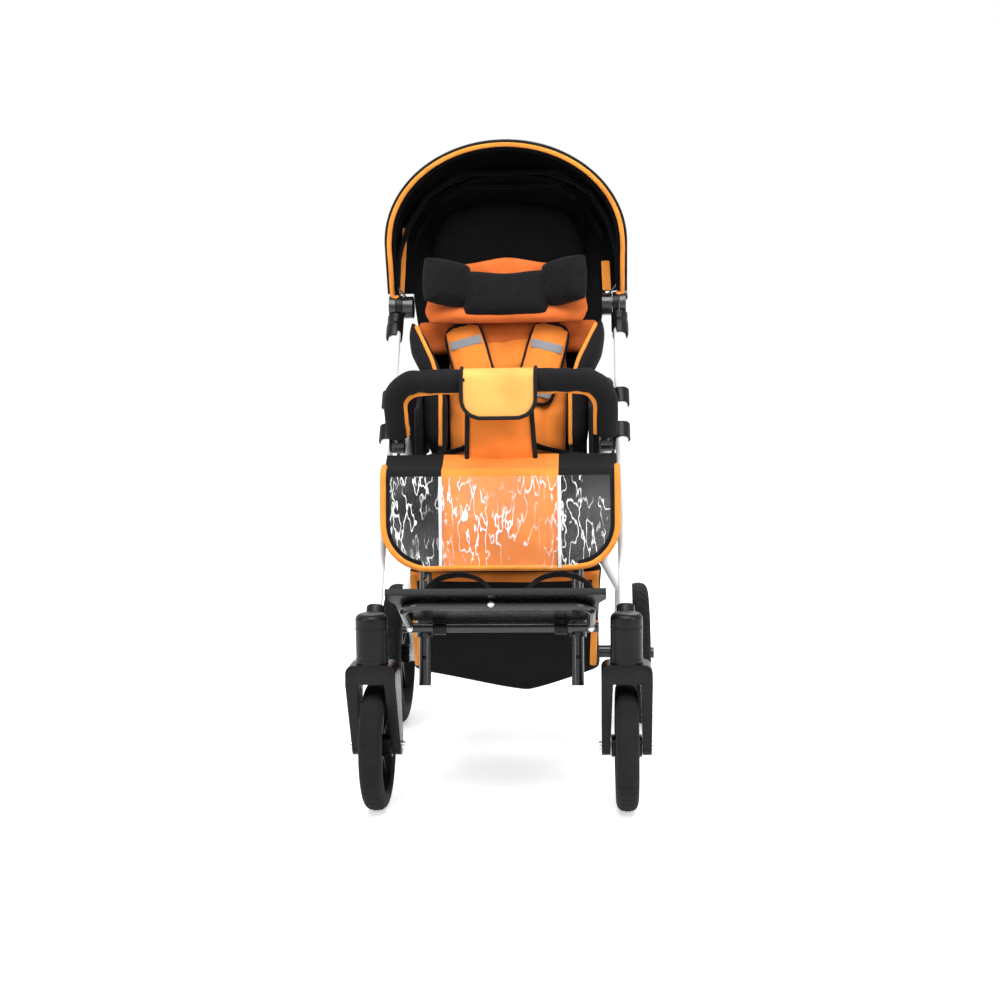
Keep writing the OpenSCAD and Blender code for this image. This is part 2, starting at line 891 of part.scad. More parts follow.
module fork() {
    bolt = [caster_trail, front_wheel_r];
    slot_half = fork_half - blade_t;
    slot_top = slot_half - blade_swell;
    reach = fork_shoulder + overrun;
    color(black_paint)
        translate([main_x, caster_y, 0])
            difference() {
                union() {
                    intersection() {
                        fork_side();
                        translate([0, bolt.x + fork_tip_r + overrun, 0])
                            rotate([90, 0, 0])
                                linear_extrude(height = bolt.x + fork_tip_r + reach + overrun)
                                    fork_face();
                    }
                    translate([0, bolt.x, bolt.y])
                        bar_x(-fork_half, fork_half, 2 * fork_tip_r);
                    translate([0, 0, crown_z])
                        cylinder(d = stem_d, h = crown_h + stem_len);
                }
                translate([0, bolt.x + fork_tip_r + overrun, 0])
                    rotate([90, 0, 0])
                        linear_extrude(height = bolt.x + fork_tip_r + reach + overrun)
                            polygon([
                                [-slot_half, 0],
                                [slot_half, 0],
                                [slot_half, bolt.y + fork_tip_r],
                                [slot_top, crown_z],
                                [-slot_top, crown_z],
                                [-slot_half, bolt.y + fork_tip_r]
                            ]);
                translate([0, bolt.x, bolt.y])
                    bar_x(-fork_half - overrun, fork_half + overrun, front_bolt_d + 2 * seat_gap);
            }
}

bolt_head_t = 5;
bolt_head_d = 16;
module fork_bolt() {
    color(steel_grey)
        at_front_axle() {
            bar_x(-fork_half - flat_gap, fork_half + flat_gap, front_bolt_d);
            both()
                bar_x(fork_half + flat_gap, fork_half + flat_gap + bolt_head_t, bolt_head_d);
        }
}

module fork_left() { fork(); }
module fork_right() { opposite() fork(); }
module fork_bolt_left() { fork_bolt(); }
module fork_bolt_right() { opposite() fork_bolt(); }

// Housing over the fork, with a socket for the main tube
socket_d = tube_d + 2 * (socket_t + seat_gap);
module caster_housing() {
    color(black_paint)
        difference() {
            union() {
                translate([main_x, caster_y, housing_z])
                    cylinder(d = housing_d, h = housing_h);
                along_tube(-socket_down)
                    cylinder(d = socket_d, h = socket_down + socket_up);
            }
            translate([main_x, caster_y, housing_z - overrun])
                cylinder(d = bearing_d + 2 * seat_gap, h = housing_h - housing_roof + overrun);
            along_tube(-flat_gap)
                cylinder(d = tube_d + 2 * seat_gap, h = socket_up + overrun);
        }
}

module caster_housing_left() { caster_housing(); }
module caster_housing_right() { opposite() caster_housing(); }

cap_shoulder_share = 0.55;
module caster_caps() {
    dome_r = cap_h * (1 - cap_shoulder_share);
    color(black_paint)
        both()
            difference() {
                translate([main_x, caster_y, housing_top + flat_gap])
                    rotate_extrude() {
                        square([housing_d / 2, cap_h * cap_shoulder_share]);
                        translate([housing_d / 2 - dome_r, cap_h * cap_shoulder_share])
                            intersection() {
                                circle(r = dome_r);
                                square(dome_r);
                            }
                        square([housing_d / 2 - dome_r, cap_h]);
                    }
                along_tube(-socket_down)
                    cylinder(d = socket_d + 2 * flat_gap, h = socket_down + socket_up + cap_h);
            }
}

module caster_bearings() {
    lift = stem_len - bearing_h - side_gap;
    color(steel_grey)
        both()
            for (z = [side_gap, lift])
                translate([main_x, caster_y, housing_z + z])
                    difference() {
                        cylinder(d = bearing_d, h = bearing_h);
                        translate([0, 0, -overrun])
                            cylinder(d = stem_d + 2 * run_gap, h = bearing_h + 2 * overrun);
                    }
}

// Main tubes, from the caster socket to the collar of the handle joint
module main_tube() {
    color(white_paint)
        straight(on_tube(0), on_tube(tube_top_s), tube_d, tube_wall);
}

module main_tube_left() { main_tube(); }
module main_tube_right() { opposite() main_tube(); }

module front_crossbar() {
    end = [main_x - tube_d / 2 - flat_gap, crossbar_at.y, crossbar_at.z];
    color(black_paint)
        straight([-end.x, end.y, end.z], end, crossbar_d, tube_wall);
}

// Sleeve around the main tube
module tube_clamp(s) {
    along_tube(s - clamp_len / 2)
        difference() {
            cylinder(d = clamp_d, h = clamp_len);
            translate([0, 0, -overrun])
                cylinder(d = tube_d + 2 * seat_gap, h = clamp_len + 2 * overrun);
        }
}

// Clamp with the leg pivot pin, the bumper pin and the stay down to the seat rail
module pivot_clamps() {
    stay_at = [0, rear_stay_y, rail_z];
    corners = [for (p = [stay_at, pivot_at, bumper_at]) [p.y, p.z]];
    pin_end = link_x + link_t / 2;
    color(black_paint)
        both() {
            tube_clamp(pivot_station);
            plate_x(link_x, link_t)
                polygon(bent_strip(corners[0], corners[1], corners[2], link_w * link_neck_share / 2));
            for (p = [stay_at, bumper_at])
                translate([0, p.y, p.z])
                    bar_x(link_x, link_x + link_t, link_w);
            translate([0, pivot_at.y, pivot_at.z])
                bar_x(leg_x - tube_d / 2 - side_gap, pin_end, pivot_pin_d);
            translate([0, bumper_at.y, bumper_at.z])
                bar_x(bumper_x - bumper_eye_w / 2 - side_gap, pin_end, bumper_pin_d);
            translate([0, stay_at.y, stay_at.z])
                bar_x(rail_x + rail_d / 2 + flat_gap, pin_end, stay_pin_d);
        }
}

// Clamp with the plate below the armrest pad
module armrest_clamps() {
    plate_x = arm_x + arm_plate_inset;
    plate_end = main_x - (tube_d + clamp_t) / 2;
    color(black_paint)
        both() {
            tube_clamp(armrest_station);
            translate([plate_x, armrest_at.y - arm_plate_lead, arm_z - flat_gap - arm_plate_t])
                cube([plate_end - plate_x, arm_plate_l, arm_plate_t]);
        }
}

arm_round_share = 0.4;
module armrest_pads() {
    r = arm_t * arm_round_share;
    color(black_cloth)
        both()
            translate([arm_x, arm_front, arm_z])
                hull()
                    for (x = [arm_w / 2], y = [arm_w / 2, arm_len - arm_w / 2]) {
                        translate([x, y, 0])
                            cylinder(d = arm_w - r, h = arm_t, $fn = 28);
                        translate([x, y, r / 2])
                            cylinder(d = arm_w, h = arm_t - r, $fn = 28);
                    }
}

// Seat frame: a bent tube with the hinge plates and pins of the backrest
module seat_frame() {
    front = seat_front + rail_front_inset;
    rail = [
        [rail_x, front, rail_z],
        [rail_x, seat_rear, rail_z],
        [-rail_x, seat_rear, rail_z],
        [-rail_x, front, rail_z]
    ];
    plate_x = rail_x - hinge_plate_t / 2;
    foot = [0, hinge_at.y - hinge_foot, rail_z + rail_d / 4];
    color(black_paint) {
        tube_run(rail, rail_bend_r, rail_d, 0);
        both() {
            link(plate_x, hinge_plate_t, 2 * hinge_plate_r, foot, hinge_at);
            translate([0, hinge_at.y, hinge_at.z])
                bar_x(back_leg_x - back_tube_d / 2 - side_gap, rail_x, hinge_pin_d);
        }
    }
}

module seat_board() {
    notch = hinge_foot + 2 * hinge_plate_r;
    color(black_paint)
        difference() {
            translate([-seat_w / 2, seat_front, board_z])
                cube([seat_w, seat_depth - hinge_inset - side_gap, board_t]);
            both()
                translate([rail_x - hinge_plate_t / 2 - side_gap, hinge_at.y - notch, board_z - overrun])
                    cube([seat_w, notch + seat_depth, board_t + 2 * overrun]);
        }
}

seat_cushion_inset = 60;
module seat_cushion() {
    l = seat_depth - seat_cushion_inset;
    color(orange_cloth)
        translate([0, cushion_front + l / 2, cushion_z])
            cushion(seat_w, l, seat_edge_t, seat_crown);
}

// Apron: laps over the seat front, turns down and hangs with round lower corners
module apron_outline(w, h, r) {
    translate([-w / 2, r])
        square([w, h - r]);
    translate([r - w / 2, 0])
        square([w - 2 * r, r + overrun]);
    for (x = [r - w / 2, w / 2 - r])
        translate([x, r])
            circle(r = r);
}

module apron_band() {
    hang = [-sin(apron_lean), -cos(apron_lean)];
    outer = arc(apron_bend_r, 90, 180 - apron_lean, arc_steps);
    inner = arc(apron_bend_r - apron_t, 90, 180 - apron_lean, arc_steps);
    lap = apron_lap - apron_bend_r;
    polygon(concat(
        [[lap, apron_bend_r]],
        outer,
        [outer[arc_steps] + apron_drop * hang, inner[arc_steps] + apron_drop * hang],
        reversed(inner),
        [[lap, apron_bend_r - apron_t]]
    ));
}

apron_low = apron_top - apron_bend_r + apron_bend_r * sin(apron_lean) - apron_drop * cos(apron_lean);
module seat_apron() {
    color(black_cloth)
        intersection() {
            translate([-apron_w / 2, apron_mid_y, apron_top - apron_bend_r])
                rotate([90, 0, 90])
                    linear_extrude(height = apron_w)
                        apron_band();
            translate([0, apron_mid_y + apron_lap, apron_low])
                rotate([90, 0, 0])
                    linear_extrude(height = apron_lap + apron_drop)
                        apron_outline(apron_w, apron_drop + 2 * apron_bend_r, apron_corner_r);
        }
}

module apron_cover() {
    w = apron_w - 2 * cover_border;
    h = apron_drop - cover_film_drop - cover_border;
    color(clear_film)
        translate([0, apron_mid_y, apron_top - apron_bend_r])
            rotate([-apron_lean, 0, 0])
                translate([0, -apron_bend_r - flat_gap, -apron_drop + cover_border])
                    rotate([90, 0, 0])
                        linear_extrude(height = cover_t)
                            apron_outline(w, h, apron_corner_r - cover_border);
}

// Crotch strap, standing up from the apron towards the bumper flap
module on_strap() {
    translate([0, strap_foot_y, apron_top + flat_gap])
        rotate([strap_lean, 0, 0])
            children();
}

module crotch_strap() {
    color(orange_cloth)
        on_strap()
            translate([-strap_w / 2, 0, 0])
                cube([strap_w, strap_t, strap_len]);
}

module harness_buckle() {
    color(black_paint)
        on_strap()
            translate([0, strap_t + flat_gap, buckle_rise])
                rotate([-90, 0, 0])
                    linear_extrude(height = buckle_t)
                        union() {
                            square([buckle_w, buckle_l - 2 * buckle_notch], center = true);
                            square([buckle_w - 2 * buckle_notch, buckle_l], center = true);
                        }
}

// Padded side panels between the seat and the armrests, lower towards the front
module side_panels() {
    color(black_cloth)
        both()
            translate([panel_x, panel_front, panel_low])
                rotate([90, 0, 90])
                    linear_extrude(height = panel_t)
                        polygon([
                            [0, 0],
                            [panel_len, 0],
                            [panel_len, panel_h],
                            [panel_len * panel_front_h_share, panel_h],
                            [0, panel_h * panel_front_h_share]
                        ]);
}

// Footrest hangers: drilled tubes with an eye around the crossbar
module footrest_hangers() {
    eye_bore = crossbar_d + 2 * seat_gap;
    color(black_paint)
        both()
            on_hanger()
                translate([hanger_place, 0, 0])
                    difference() {
                        union() {
                            translate([0, -hanger_off, -hanger_len])
                                linear_extrude(height = hanger_len + hanger_top)
                                    section(hanger_d, tube_wall);
                            bar_x(-hanger_eye_w / 2, hanger_eye_w / 2, eye_bore + 2 * hanger_eye_t);
                        }
                        bar_x(-hanger_eye_w, hanger_eye_w, eye_bore);
                        for (z = [hole_low, hole_high])
                            translate([0, 0, z - hanger_len])
                                rotate([90, 0, 0])
                                    cylinder(d = hole_d, h = 2 * (hanger_off + hanger_d));
                    }
}

// Basket: open at the top, with a sagging bottom and four carrying straps
module basket_outline(inset) {
    half = basket_half - inset;
    polygon([
        [-half, basket_side_z + inset],
        [basket_sag_x, basket_low_z + inset],
        [half, basket_side_z + inset],
        [half, basket_top + (inset > 0 ? overrun : 0)],
        [-half, basket_top + (inset > 0 ? overrun : 0)]
    ]);
}

module basket_block(inset) {
    translate([0, basket_front + basket_len - inset, 0])
        rotate([90, 0, 0])
            linear_extrude(height = basket_len - 2 * inset)
                basket_outline(inset);
}

module basket() {
    color(black_cloth) {
        difference() {
            basket_block(0);
            basket_block(basket_t);
        }
        both()
            for (y = basket_strap_ys)
                translate([basket_half - basket_t, y, basket_top - basket_strap_w])
                    cube([basket_t, basket_strap_w, rail_z - basket_top + basket_strap_w]);
    }
}

// Canopy: arch outline at a depth below the skin, as pairs of radius and width, revolved about the hub
function arch(depth) =
    let (
        a = canopy_half_w - depth,
        b = canopy_r - canopy_side_r - depth,
        half = [for (p = arc(1, 0, 90, arch_steps)) [canopy_side_r + b * p.y, a * p.x]]
    )
    concat(
        [[canopy_low_r, a]],
        half,
        [for (i = [arch_steps - 1:-1:0]) [half[i].x, -half[i].y]],
        [[canopy_low_r, -a]]
    );

module about_hub(from, span) {
    translate([0, joint_at.y, joint_at.z])
        rotate([90, 0, -90])
            rotate([0, 0, from])
                rotate_extrude(angle = span)
                    children();
}

module canopy_cloth(from, to, depth) {
    about_hub(from, to - from)
        polygon(concat(arch(depth), reversed(arch(depth + cloth_t))));
}

// Bow below the cloth, with feet that run in to the hub
module canopy_bow(from, depth, foot_r, foot_x) {
    about_hub(from, bow_span)
        polygon(concat(
            [[foot_r, foot_x]], arch(depth), [[foot_r, -foot_x]],
            [[foot_r, bow_foot_w - foot_x]], reversed(arch(depth + bow_t)), [[foot_r, foot_x - bow_foot_w]]
        ));
}

module canopy_front() {
    color(black_cloth)
        canopy_cloth(rim_angle, rim_angle + front_span, 0);
}

module canopy_front_bow() {
    color(black_paint) {
        canopy_bow(rim_angle, cloth_t + flat_gap, canopy_hub_r - side_gap,
            hub_x + canopy_hub_w * bow_foot_share);
        both()
            translate([0, joint_at.y, joint_at.z])
                difference() {
                    bar_x(hub_x, hub_x + canopy_hub_w, 2 * canopy_hub_r);
                    bar_x(hub_x - overrun, hub_x + canopy_hub_w + overrun, hub_pin_d + 2 * run_gap);
                }
    }
}

module canopy_rear() {
    color(black_cloth)
        canopy_cloth(rim_angle + front_span - canopy_lap, rear_angle, rear_skin);
}

module canopy_rear_bow() {
    color(black_paint)
        canopy_bow(rear_angle - bow_span, rear_skin + cloth_t + flat_gap, joint_r + flat_gap,
            main_x - side_gap / 2);
}

// Handle joints: the fixed inner half with its collar on the main tube and the hub pin
module handle_joints() {
    inner = main_x - side_gap / 2 - joint_t;
    color(black_paint)
        both()
            difference() {
                union() {
                    translate([0, joint_at.y, joint_at.z]) {
                        bar_x(inner, inner + joint_t, 2 * joint_r);
                        bar_x(hub_x - side_gap, inner + joint_t / 2, hub_pin_d);
                        rotate([-main_tilt, 0, 0])
                            translate([inner, -joint_neck_w / 2, -joint_r - joint_neck_in])
                                cube([joint_t, joint_neck_w, joint_r + joint_neck_in]);
                    }
                    along_tube(tube_top_s - tube_insert)
                        cylinder(d = clamp_d, h = collar_len);
                }
                along_tube(tube_top_s - tube_insert - overrun)
                    cylinder(d = tube_d + 2 * seat_gap, h = tube_insert + overrun + flat_gap);
            }
}

// Push handle: outer joint halves, arms and crossbar
module on_handle() {
    translate([0, joint_at.y, joint_at.z])
        rotate([arm_rise_angle, 0, 0])
            children();
}

module push_handle() {
    start = joint_r + side_gap;
    color(white_paint)
        on_handle() {
            tube_run([
                [arm_x_mid, start, 0],
                [arm_x_mid, arm_reach, 0],
                [-arm_x_mid, arm_reach, 0],
                [-arm_x_mid, start, 0]
            ], handle_bend_r, handle_d, tube_wall);
            both() {
                bar_x(main_x + side_gap / 2, main_x + side_gap / 2 + joint_t, 2 * joint_r);
                translate([main_x + side_gap / 2, 0, -handle_d / 2])
                    cube([joint_t, start + joint_r / 2, handle_d]);
            }
        }
}

module handle_grip() {
    color(rubber_black)
        on_handle()
            translate([0, arm_reach, 0])
                difference() {
                    bar_x(-grip_len / 2, grip_len / 2, grip_d);
                    bar_x(-grip_len, grip_len, handle_d + 2 * seat_gap);
                }
}

// Rear legs: an eye at the pivot, a flare outwards and a boss at the axle
module rear_leg() {
    color(white_paint)
        difference() {
            union() {
                jointed_tube([leg_top, leg_knee, leg_ankle, axle_at], tube_d);
                translate([leg_x, pivot_at.y, pivot_at.z])
                    bar_x(side_gap - tube_d / 2, tube_d / 2 - side_gap, leg_eye_d);
                translate(axle_at)
                    bar_x(-foot_boss_w / 2, foot_boss_w / 2, foot_boss_d);
            }
            translate([leg_x, pivot_at.y, pivot_at.z])
                bar_x(-tube_d, tube_d, pivot_pin_d + 2 * run_gap);
            translate(axle_at)
                bar_x(-foot_boss_w, foot_boss_w, spindle_d + 2 * seat_gap);
        }
}

module rear_leg_left() { rear_leg(); }
module rear_leg_right() { opposite() rear_leg(); }

module at_axle_line() {
    translate([0, rear_axle_y, rear_wheel_r])
        children();
}

module rear_axle() {
    half = leg_foot_x - foot_boss_w / 2 - flat_gap;
    wheel_end = rear_track_x + rear_hub_w / 2 + side_gap;
    color(black_paint)
        at_axle_line() {
            bar_x(-half, half, axle_d);
            bar_x(-wheel_end, wheel_end, spindle_d);
            both()
                bar_x(wheel_end, wheel_end + spindle_cap_t, spindle_cap_d);
        }
}

// Brake: two sleeves on the axle, arms back to a bar, and a foot pedal
module brake_pedal() {
    sleeve_d = axle_d + 2 * (brake_sleeve_t + run_gap);
    bar_half = leg_foot_x - foot_boss_w / 2;
    color(black_paint)
        at_axle_line()
            difference() {
                union() {
                    both()
                        translate([brake_arm_x - brake_arm_w / 2, 0, 0]) {
                            bar_x(0, brake_arm_w, sleeve_d);
                            translate([0, 0, -brake_bar_d / 2])
                                cube([brake_arm_w, brake_reach, brake_bar_d]);
                        }
                    translate([0, brake_reach, 0])
                        bar_x(-bar_half, bar_half, brake_bar_d);
                    translate([-pedal_w / 2, brake_reach, -pedal_t / 2])
                        cube([pedal_w, pedal_depth, pedal_t]);
                }
                bar_x(-brake_arm_x - brake_arm_w, brake_arm_x + brake_arm_w, axle_d + 2 * run_gap);
            }
}

// Backrest: bent frame with hinge eyes, shell, cushions and pads
module backrest_frame() {
    color(black_paint)
        on_backrest()
            difference() {
                union() {
                    tube_run([
                        [back_leg_x, 0, 0],
                        [back_leg_x, 0, back_len - back_tube_d / 2],
                        [-back_leg_x, 0, back_len - back_tube_d / 2],
                        [-back_leg_x, 0, 0]
                    ], back_bend_r, back_tube_d, 0);
                    both()
                        translate([back_leg_x, 0, 0])
                            bar_x(-back_tube_d / 2, back_tube_d / 2, back_tube_d + side_gap);
                }
                both()
                    translate([back_leg_x, 0, 0])
                        bar_x(-back_tube_d, back_tube_d, hinge_pin_d + 2 * run_gap);
            }
}

// Room for the headrest stem over its whole travel
module stem_slot(w) {
    translate([-w / 2, -back_len, slot_low])
        cube([w, back_len, slot_l]);
}

module backrest_shell() {
    color(black_paint)
        on_backrest()
            difference() {
                translate([-shell_half_w, shell_y - shell_t, back_pad_low])
                    cube([2 * shell_half_w, shell_t, back_len - back_pad_low]);
                stem_slot(head_stem_w + 2 * slot_gap);
            }
}

module on_shell(z) {
    translate([0, pad_y, z])
        rotate([90, 0, 0])
            children();
}

module back_cushion() {
    color(orange_cloth)
        on_backrest()
            on_shell(back_pad_low + back_pad_l / 2)
                cushion(back_pad_w, back_pad_l, back_edge_t, back_crown);
}

module upper_back_pad() {
    color(black_cloth)
        on_backrest()
            difference() {
                on_shell(upper_pad_low + upper_pad_l / 2)
                    cushion(upper_pad_w, upper_pad_l, back_edge_t, upper_crown);
                stem_slot(head_stem_w + 2 * slot_gap);
            }
}

pad_edge_share = 0.6;
module lateral_pads() {
    color(black_cloth)
        on_backrest()
            both()
                translate([lateral_x + lateral_w, pad_y - lateral_depth / 2, lateral_low + lateral_h / 2])
                    rotate([90, 0, -90])
                        cushion(lateral_depth, lateral_h, lateral_w * pad_edge_share,
                            lateral_w * (1 - pad_edge_share), pad_steps);
}

module shoulder_pads() {
    color(orange_cloth)
        on_backrest()
            both()
                translate([shoulder_x, pad_front_y - flat_gap, shoulder_low + shoulder_l / 2])
                    rotate([90, -shoulder_turn, 0])
                        cushion(shoulder_w, shoulder_l, shoulder_t * pad_edge_share,
                            shoulder_t * (1 - pad_edge_share), strip_steps);
}

// Cloth panel behind the backrest that closes the canopy
module canopy_back_panel() {
    rise = back_panel_top - back_panel_low;
    levels = [for (s = back_panel_side_shares) back_panel_low + rise * s];
    half = [
        [shell_half_w, back_panel_low],
        [shell_half_w, levels[0]],
        [back_panel_half_w, levels[1]],
        [back_panel_top_w, back_panel_top]
    ];
    color(black_cloth)
        on_backrest()
            translate([0, back_tube_d / 2 + flat_gap + back_panel_t, 0])
                rotate([90, 0, 0])
                    linear_extrude(height = back_panel_t)
                        polygon(concat(half, [for (p = reversed(half)) [-p.x, p.y]]));
}

// Headrest: liner against the back pads, winged cushion in front and the mount through the shell
liner_y = pad_front_y - shoulder_t - 2 * flat_gap;
liner_drop = 2;
head_mid_drop = 25;
module headrest_liner() {
    color(orange_cloth)
        on_backrest()
            translate([0, liner_y, head_mid - liner_drop])
                rotate([90, 0, 0])
                    cushion(liner_w, liner_h, liner_t * pad_edge_share,
                        liner_t * (1 - pad_edge_share), pad_steps);
}

module headrest_cushion() {
    wing_w = (head_w - head_mid_w) / 2 / cos(wing_turn) + head_edge_t;
    front = liner_y - liner_t - flat_gap;
    color(black_cloth)
        on_backrest()
            translate([0, front, head_mid]) {
                translate([0, 0, -head_mid_drop])
                    rotate([90, 0, 0])
                        cushion(head_mid_w + head_edge_t, head_h, head_edge_t, head_mid_crown, pad_steps);
                both()
                    translate([head_mid_w / 2 - head_edge_t / 2, 0, 0])
                        rotate([0, 0, -wing_turn])
                            translate([wing_w / 2, 0, 0])
                                rotate([90, 0, 0])
                                    cushion(wing_w, head_h, head_edge_t, head_crown, pad_steps);
            }
}

module headrest_mount() {
    back = shell_y + flat_gap;
    reach = back - liner_y - flat_gap;
    color(black_paint)
        on_backrest()
            translate([0, 0, head_mid]) {
                translate([-head_stem_w / 2, back - reach, -head_stem_h / 2])
                    cube([head_stem_w, reach, head_stem_h]);
                translate([-mount_plate_w / 2, back, -mount_plate_h / 2])
                    cube([mount_plate_w, mount_plate_t, mount_plate_h]);
            }
}

// Footrest: carriage on the hangers, and the plate that tips on its cross tube
module footrest_carriage() {
    sleeve_d = hanger_d + 2 * (sleeve_t + run_gap);
    color(black_paint)
        on_hanger()
            difference() {
                union() {
                    both()
                        translate([hanger_place, -hanger_off, -carriage_station - sleeve_len / 2])
                            cylinder(d = sleeve_d, h = sleeve_len);
                    translate([0, -cross_off, -carriage_station])
                        bar_x(-cross_tube_len / 2, cross_tube_len / 2, cross_tube_d);
                }
                both()
                    translate([hanger_place, -hanger_off, -carriage_station - sleeve_len])
                        cylinder(d = hanger_d + 2 * run_gap, h = 2 * sleeve_len);
            }
}

module footplate() {
    front = -plate_depth;
    ear_d = cross_tube_d + 2 * (plate_ear_t + run_gap);
    outline = [
        [plate_half_w, -plate_back],
        [plate_half_w, front + flare_depth],
        [plate_flare_w, front + flare_depth / 2],
        [plate_flare_w, front]
    ];
    color(black_paint)
        on_footplate()
            difference() {
                union() {
                    translate([0, 0, plate_z])
                        linear_extrude(height = plate_t)
                            polygon(concat(outline, [for (p = reversed(outline)) [-p.x, p.y]]));
                    translate([-plate_flare_w, front, plate_z])
                        cube([2 * plate_flare_w, plate_t, plate_lip_h]);
                    both()
                        translate([plate_ear_x - plate_ear_w / 2, 0, 0]) {
                            bar_x(0, plate_ear_w, ear_d);
                            translate([0, -plate_back - ear_d / 2, plate_z - plate_ear_t])
                                cube([plate_ear_w, plate_back + ear_d / 2, plate_t + plate_ear_t]);
                        }
                }
                bar_x(-plate_flare_w, plate_flare_w, cross_tube_d + 2 * run_gap);
            }
}

module footplate_tube() {
    color(black_paint)
        on_footplate()
            tube_run([
                [plate_tube_x, -plate_tube_back, 0],
                [plate_tube_x, -plate_tube_front, 0],
                [-plate_tube_x, -plate_tube_front, 0],
                [-plate_tube_x, -plate_tube_back, 0]
            ], plate_bend_r, plate_tube_d, 0);
}

// Foot loops: webbing arches that stand on the plate
module foot_straps() {
    r = loop_w / 2;
    color(black_cloth)
        on_footplate()
            for (x = [loop_left_x, loop_right_x])
                translate([x, -loop_place, plate_z + plate_t + flat_gap])
                    rotate([90, 0, 0])
                        rotate_extrude(angle = 180)
                            translate([r - webbing_t, -webbing_w / 2])
                                square([webbing_t, webbing_w]);
}

// Bumper: hinged tube, padded sleeve and the flap over its middle
module bumper_path(low, d, wall) {
    tube_run([
        [bumper_x, 0, low],
        [bumper_x, 0, bumper_len],
        [-bumper_x, 0, bumper_len],
        [-bumper_x, 0, low]
    ], bumper_bend_r, d, wall);
}

module bumper_tube() {
    color(black_paint)
        on_bumper()
            difference() {
                union() {
                    bumper_path(0, bumper_tube_d, 0);
                    both()
                        bar_x(bumper_x - bumper_eye_w / 2, bumper_x + bumper_eye_w / 2, bumper_eye_d);
                }
                both()
                    bar_x(bumper_x - bumper_eye_d, bumper_x + bumper_eye_d, bumper_pin_d + 2 * run_gap);
            }
}

module bumper_sleeve() {
    wall = (bumper_sleeve_d - bumper_tube_d) / 2 - seat_gap;
    color(black_cloth)
        on_bumper()
            bumper_path(bumper_sleeve_low, bumper_sleeve_d, wall);
}

module bumper_flap() {
    inner_r = bumper_sleeve_d / 2 + flat_gap;
    outer_r = inner_r + flap_t;
    color(orange_cloth)
        on_bumper()
            translate([0, 0, bumper_len])
                rotate([-bumper_lean, 0, 0]) {
                    difference() {
                        bar_x(-flap_w / 2, flap_w / 2, 2 * outer_r);
                        bar_x(-flap_w, flap_w, 2 * inner_r);
                        translate([-flap_w, -outer_r - overrun, -outer_r - overrun])
                            cube([2 * flap_w, 2 * (outer_r + overrun), outer_r + overrun]);
                    }
                    translate([-flap_w / 2, -outer_r, -flap_drop])
                        cube([flap_w, flap_t, flap_drop]);
                }
}

main_tube_left();
main_tube_right();
front_crossbar();
caster_housing_left();
caster_housing_right();
caster_caps();
caster_bearings();
handle_joints();
pivot_clamps();
armrest_clamps();
armrest_pads();
seat_frame();
seat_board();
seat_cushion();
seat_apron();
apron_cover();
crotch_strap();
harness_buckle();
side_panels();
footrest_hangers();
basket();
canopy_rear();
canopy_rear_bow();
rear_leg_left();
rear_leg_right();
rear_axle();
brake_pedal();
rear_tyre_left();
rear_tyre_right();
rear_rim_left();
rear_rim_right();
front_tyre_left();
front_tyre_right();
front_rim_left();
front_rim_right();
fork_left();
fork_right();
fork_bolt_left();
fork_bolt_right();
canopy_front();
canopy_front_bow();
push_handle();
handle_grip();
backrest_frame();
backrest_shell();
back_cushion();
upper_back_pad();
lateral_pads();
shoulder_pads();
canopy_back_panel();
headrest_liner();
headrest_cushion();
headrest_mount();
footrest_carriage();
footplate();
footplate_tube();
foot_straps();
bumper_tube();
bumper_sleeve();
bumper_flap();
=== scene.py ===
"""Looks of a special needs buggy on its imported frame. Metres, Z up, the front looks towards -Y."""
import json
import math

import bmesh
import bpy
from mathutils import Matrix, Vector, noise


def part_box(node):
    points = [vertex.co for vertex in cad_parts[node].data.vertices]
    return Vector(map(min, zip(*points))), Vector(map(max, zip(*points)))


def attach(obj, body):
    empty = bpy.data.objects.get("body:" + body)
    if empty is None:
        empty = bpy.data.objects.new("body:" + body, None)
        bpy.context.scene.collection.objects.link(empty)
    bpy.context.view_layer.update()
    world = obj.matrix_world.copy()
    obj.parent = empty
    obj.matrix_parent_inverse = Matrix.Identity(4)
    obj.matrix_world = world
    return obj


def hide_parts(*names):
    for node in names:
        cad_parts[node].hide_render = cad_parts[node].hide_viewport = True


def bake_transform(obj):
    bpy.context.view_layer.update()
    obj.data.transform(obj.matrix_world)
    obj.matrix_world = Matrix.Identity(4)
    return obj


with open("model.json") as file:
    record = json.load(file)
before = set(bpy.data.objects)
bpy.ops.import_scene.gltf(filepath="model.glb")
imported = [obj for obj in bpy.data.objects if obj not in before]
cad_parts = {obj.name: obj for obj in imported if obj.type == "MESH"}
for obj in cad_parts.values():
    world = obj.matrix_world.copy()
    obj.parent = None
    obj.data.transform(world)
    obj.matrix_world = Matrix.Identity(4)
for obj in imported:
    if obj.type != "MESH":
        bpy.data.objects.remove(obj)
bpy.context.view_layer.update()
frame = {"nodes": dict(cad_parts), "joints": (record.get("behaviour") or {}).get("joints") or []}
NODES = frame["nodes"]
JOINTS = {j["name"]: j for j in frame["joints"]}
SCENE = bpy.context.scene
MM = 0.001
SIDES = (("left", 1), ("right", -1))
ACROSS = Vector((1, 0, 0))
REARWARD = (0, 1, 0)
FORWARD = (0, -1, 0)


# Places that the pieces are built from


def joint_at(name):
    """Point that a joint turns or slides about."""
    return Vector(JOINTS[name]["pos_m"])


def axes(x, y, z, origin):
    """Frame with these axes at a point."""
    m = Matrix((x, y, z)).transposed().to_4x4()
    m.translation = origin
    return m


def place(origin, up):
    """Frame at a point with X across the buggy and Z along up."""
    z = Vector(up).normalized()
    return axes(ACROSS, z.cross(ACROSS), z, origin)


